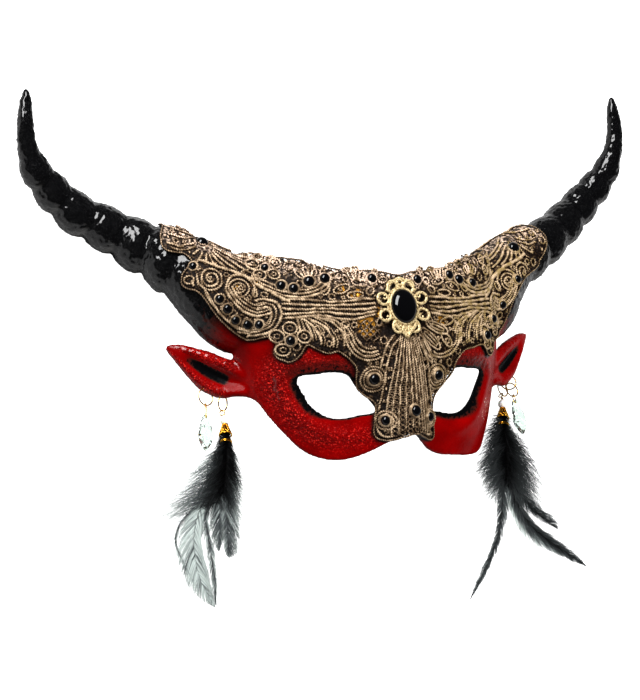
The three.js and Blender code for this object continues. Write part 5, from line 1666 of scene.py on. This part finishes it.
gems, cups, gemNames = gemObjects()
addValues(cups.data, "crest", np.full(len(cups.data.vertices), 0.85))
addValues(cups.data, "thread", np.full(len(cups.data.vertices), 0.5))
laceValues(cups.data)
finished(gems, looks["stone"], "black_stone", *gemNames)
finished(cups, looks["cord"], "bronze_lace", *gemNames)
cabochon, brow = browObjects()
finished(cabochon, looks["stone"], "black_stone", "brow_stone")
finished(brow, looks["filigree"], "filigree", "stone_setting")
hoops, hoopNames = hoopObject()
finished(hoops, looks["gold"], "gold_wire", *hoopNames)
print("stones and hoops")
for side in ("left", "right"):
    wires, crystal, pearl, cap, lining = dropObjects(side)
    finished(wires, looks["gold"], "gold_wire", "bail_" + side, "hanger_" + side)
    finished(crystal, looks["crystal"], "clear_crystal", "crystal_" + side)
    finished(pearl, looks["pearl"], "pearl", "pearl_" + side)
    finished(cap, looks["cap"], "gold_wire", "cap_" + side, "band_" + side)
    finished(lining, looks["feather"], "feather", "cap_" + side)
    plume = featherObject(side)
    finished(plume, looks["feather"], "feather", "feathers_" + side)
    print("plumes", side, len(plume.data.polygons))

# Camera and light: the camera stands over the lying mask, its ways given on the mask as worn
view = {
    "place": (-0.62937, -0.46750, 1.10006), "back": (-0.4529, 0.0698, 0.8888), "roll": 27, "lens": 130.37,
    "target": (0, 0.01, 0.03), "world": 0.07, "floorGrey": 0.4, "floorHalf": 3,
}
lamps = {
    # direction towards the lamp in the camera's axes, distance, width, height, power
    "key": ((-0.45, 1, 0.95), 1.0, 0.85, 0.42, 17),
    "side": ((1, 0.3, 0.8), 1.2, 0.4, 0.5, 20),
    "low": ((-0.7, -1, 0.35), 1.3, 0.6, 0.14, 3),
}


def stageCamera():
    camera = bpy.data.objects.new("camera", bpy.data.cameras.new("camera"))
    bpy.context.scene.collection.objects.link(camera)
    bpy.context.scene.camera = camera
    camera.data.lens = view["lens"]
    camera.data.sensor_width = 36
    turn = math.radians(view["roll"])
    back = Vector(view["back"]).normalized()
    right = Vector((math.cos(turn), 0, math.sin(turn)))
    right = (right - back * right.dot(back)).normalized()
    pose = Matrix((right, back.cross(right), back)).transposed().to_4x4()
    lean = Matrix.Rotation(math.radians(lying["tilt"]), 4, "X")
    camera.matrix_world = Matrix.Translation(view["place"]) @ (lean @ pose)
    return camera


def stageLamps(camera):
    axes = camera.matrix_world.to_3x3()
    for name, (way, distance, wide, tall, power) in lamps.items():
        data = bpy.data.lights.new(name, "AREA")
        data.shape = "RECTANGLE"
        data.size, data.size_y = wide, tall
        data.energy = power
        lamp = bpy.data.objects.new(name, data)
        towardsLamp = (axes @ Vector(way)).normalized()
        lamp.location = Vector(view["target"]) + towardsLamp * distance
        lamp.rotation_euler = towardsLamp.to_track_quat("Z", "Y").to_euler()
        lamp.visible_glossy = name != "side"  # this one leaves no glints
        bpy.context.scene.collection.objects.link(lamp)


def stageFloor():
    bm = bmesh.new()
    bmesh.ops.create_grid(bm, x_segments=1, y_segments=1, size=view["floorHalf"])
    floor = toObject(bm, "floor")
    # grey where the mask mirrors it and white to the camera
    grey = (view["floorGrey"],) * 3
    material, tree, shader = newMaterial("floor_white", colour=grey, roughness=0.9, specular=0)
    shader.inputs["Emission Color"].default_value = (1, 1, 1, 1)
    path = addNode(tree, "ShaderNodeLightPath")
    seen = maths(tree, "MAXIMUM", path.outputs["Is Camera Ray"], path.outputs["Is Transmission Ray"])
    tree.links.new(seen, shader.inputs["Emission Strength"])
    floor.data.materials.append(material)
    return floor


def stageWorld():
    world = bpy.data.worlds.new("world")
    bpy.context.scene.world = world
    world.use_nodes = True
    background = world.node_tree.nodes["Background"]
    background.inputs["Color"].default_value = (1, 1, 1, 1)
    background.inputs["Strength"].default_value = view["world"]


bpy.context.scene.view_settings.view_transform = "Standard"
bpy.context.scene.view_settings.look = "Medium High Contrast"
stageWorld()
stageLamps(stageCamera())
stageFloor()
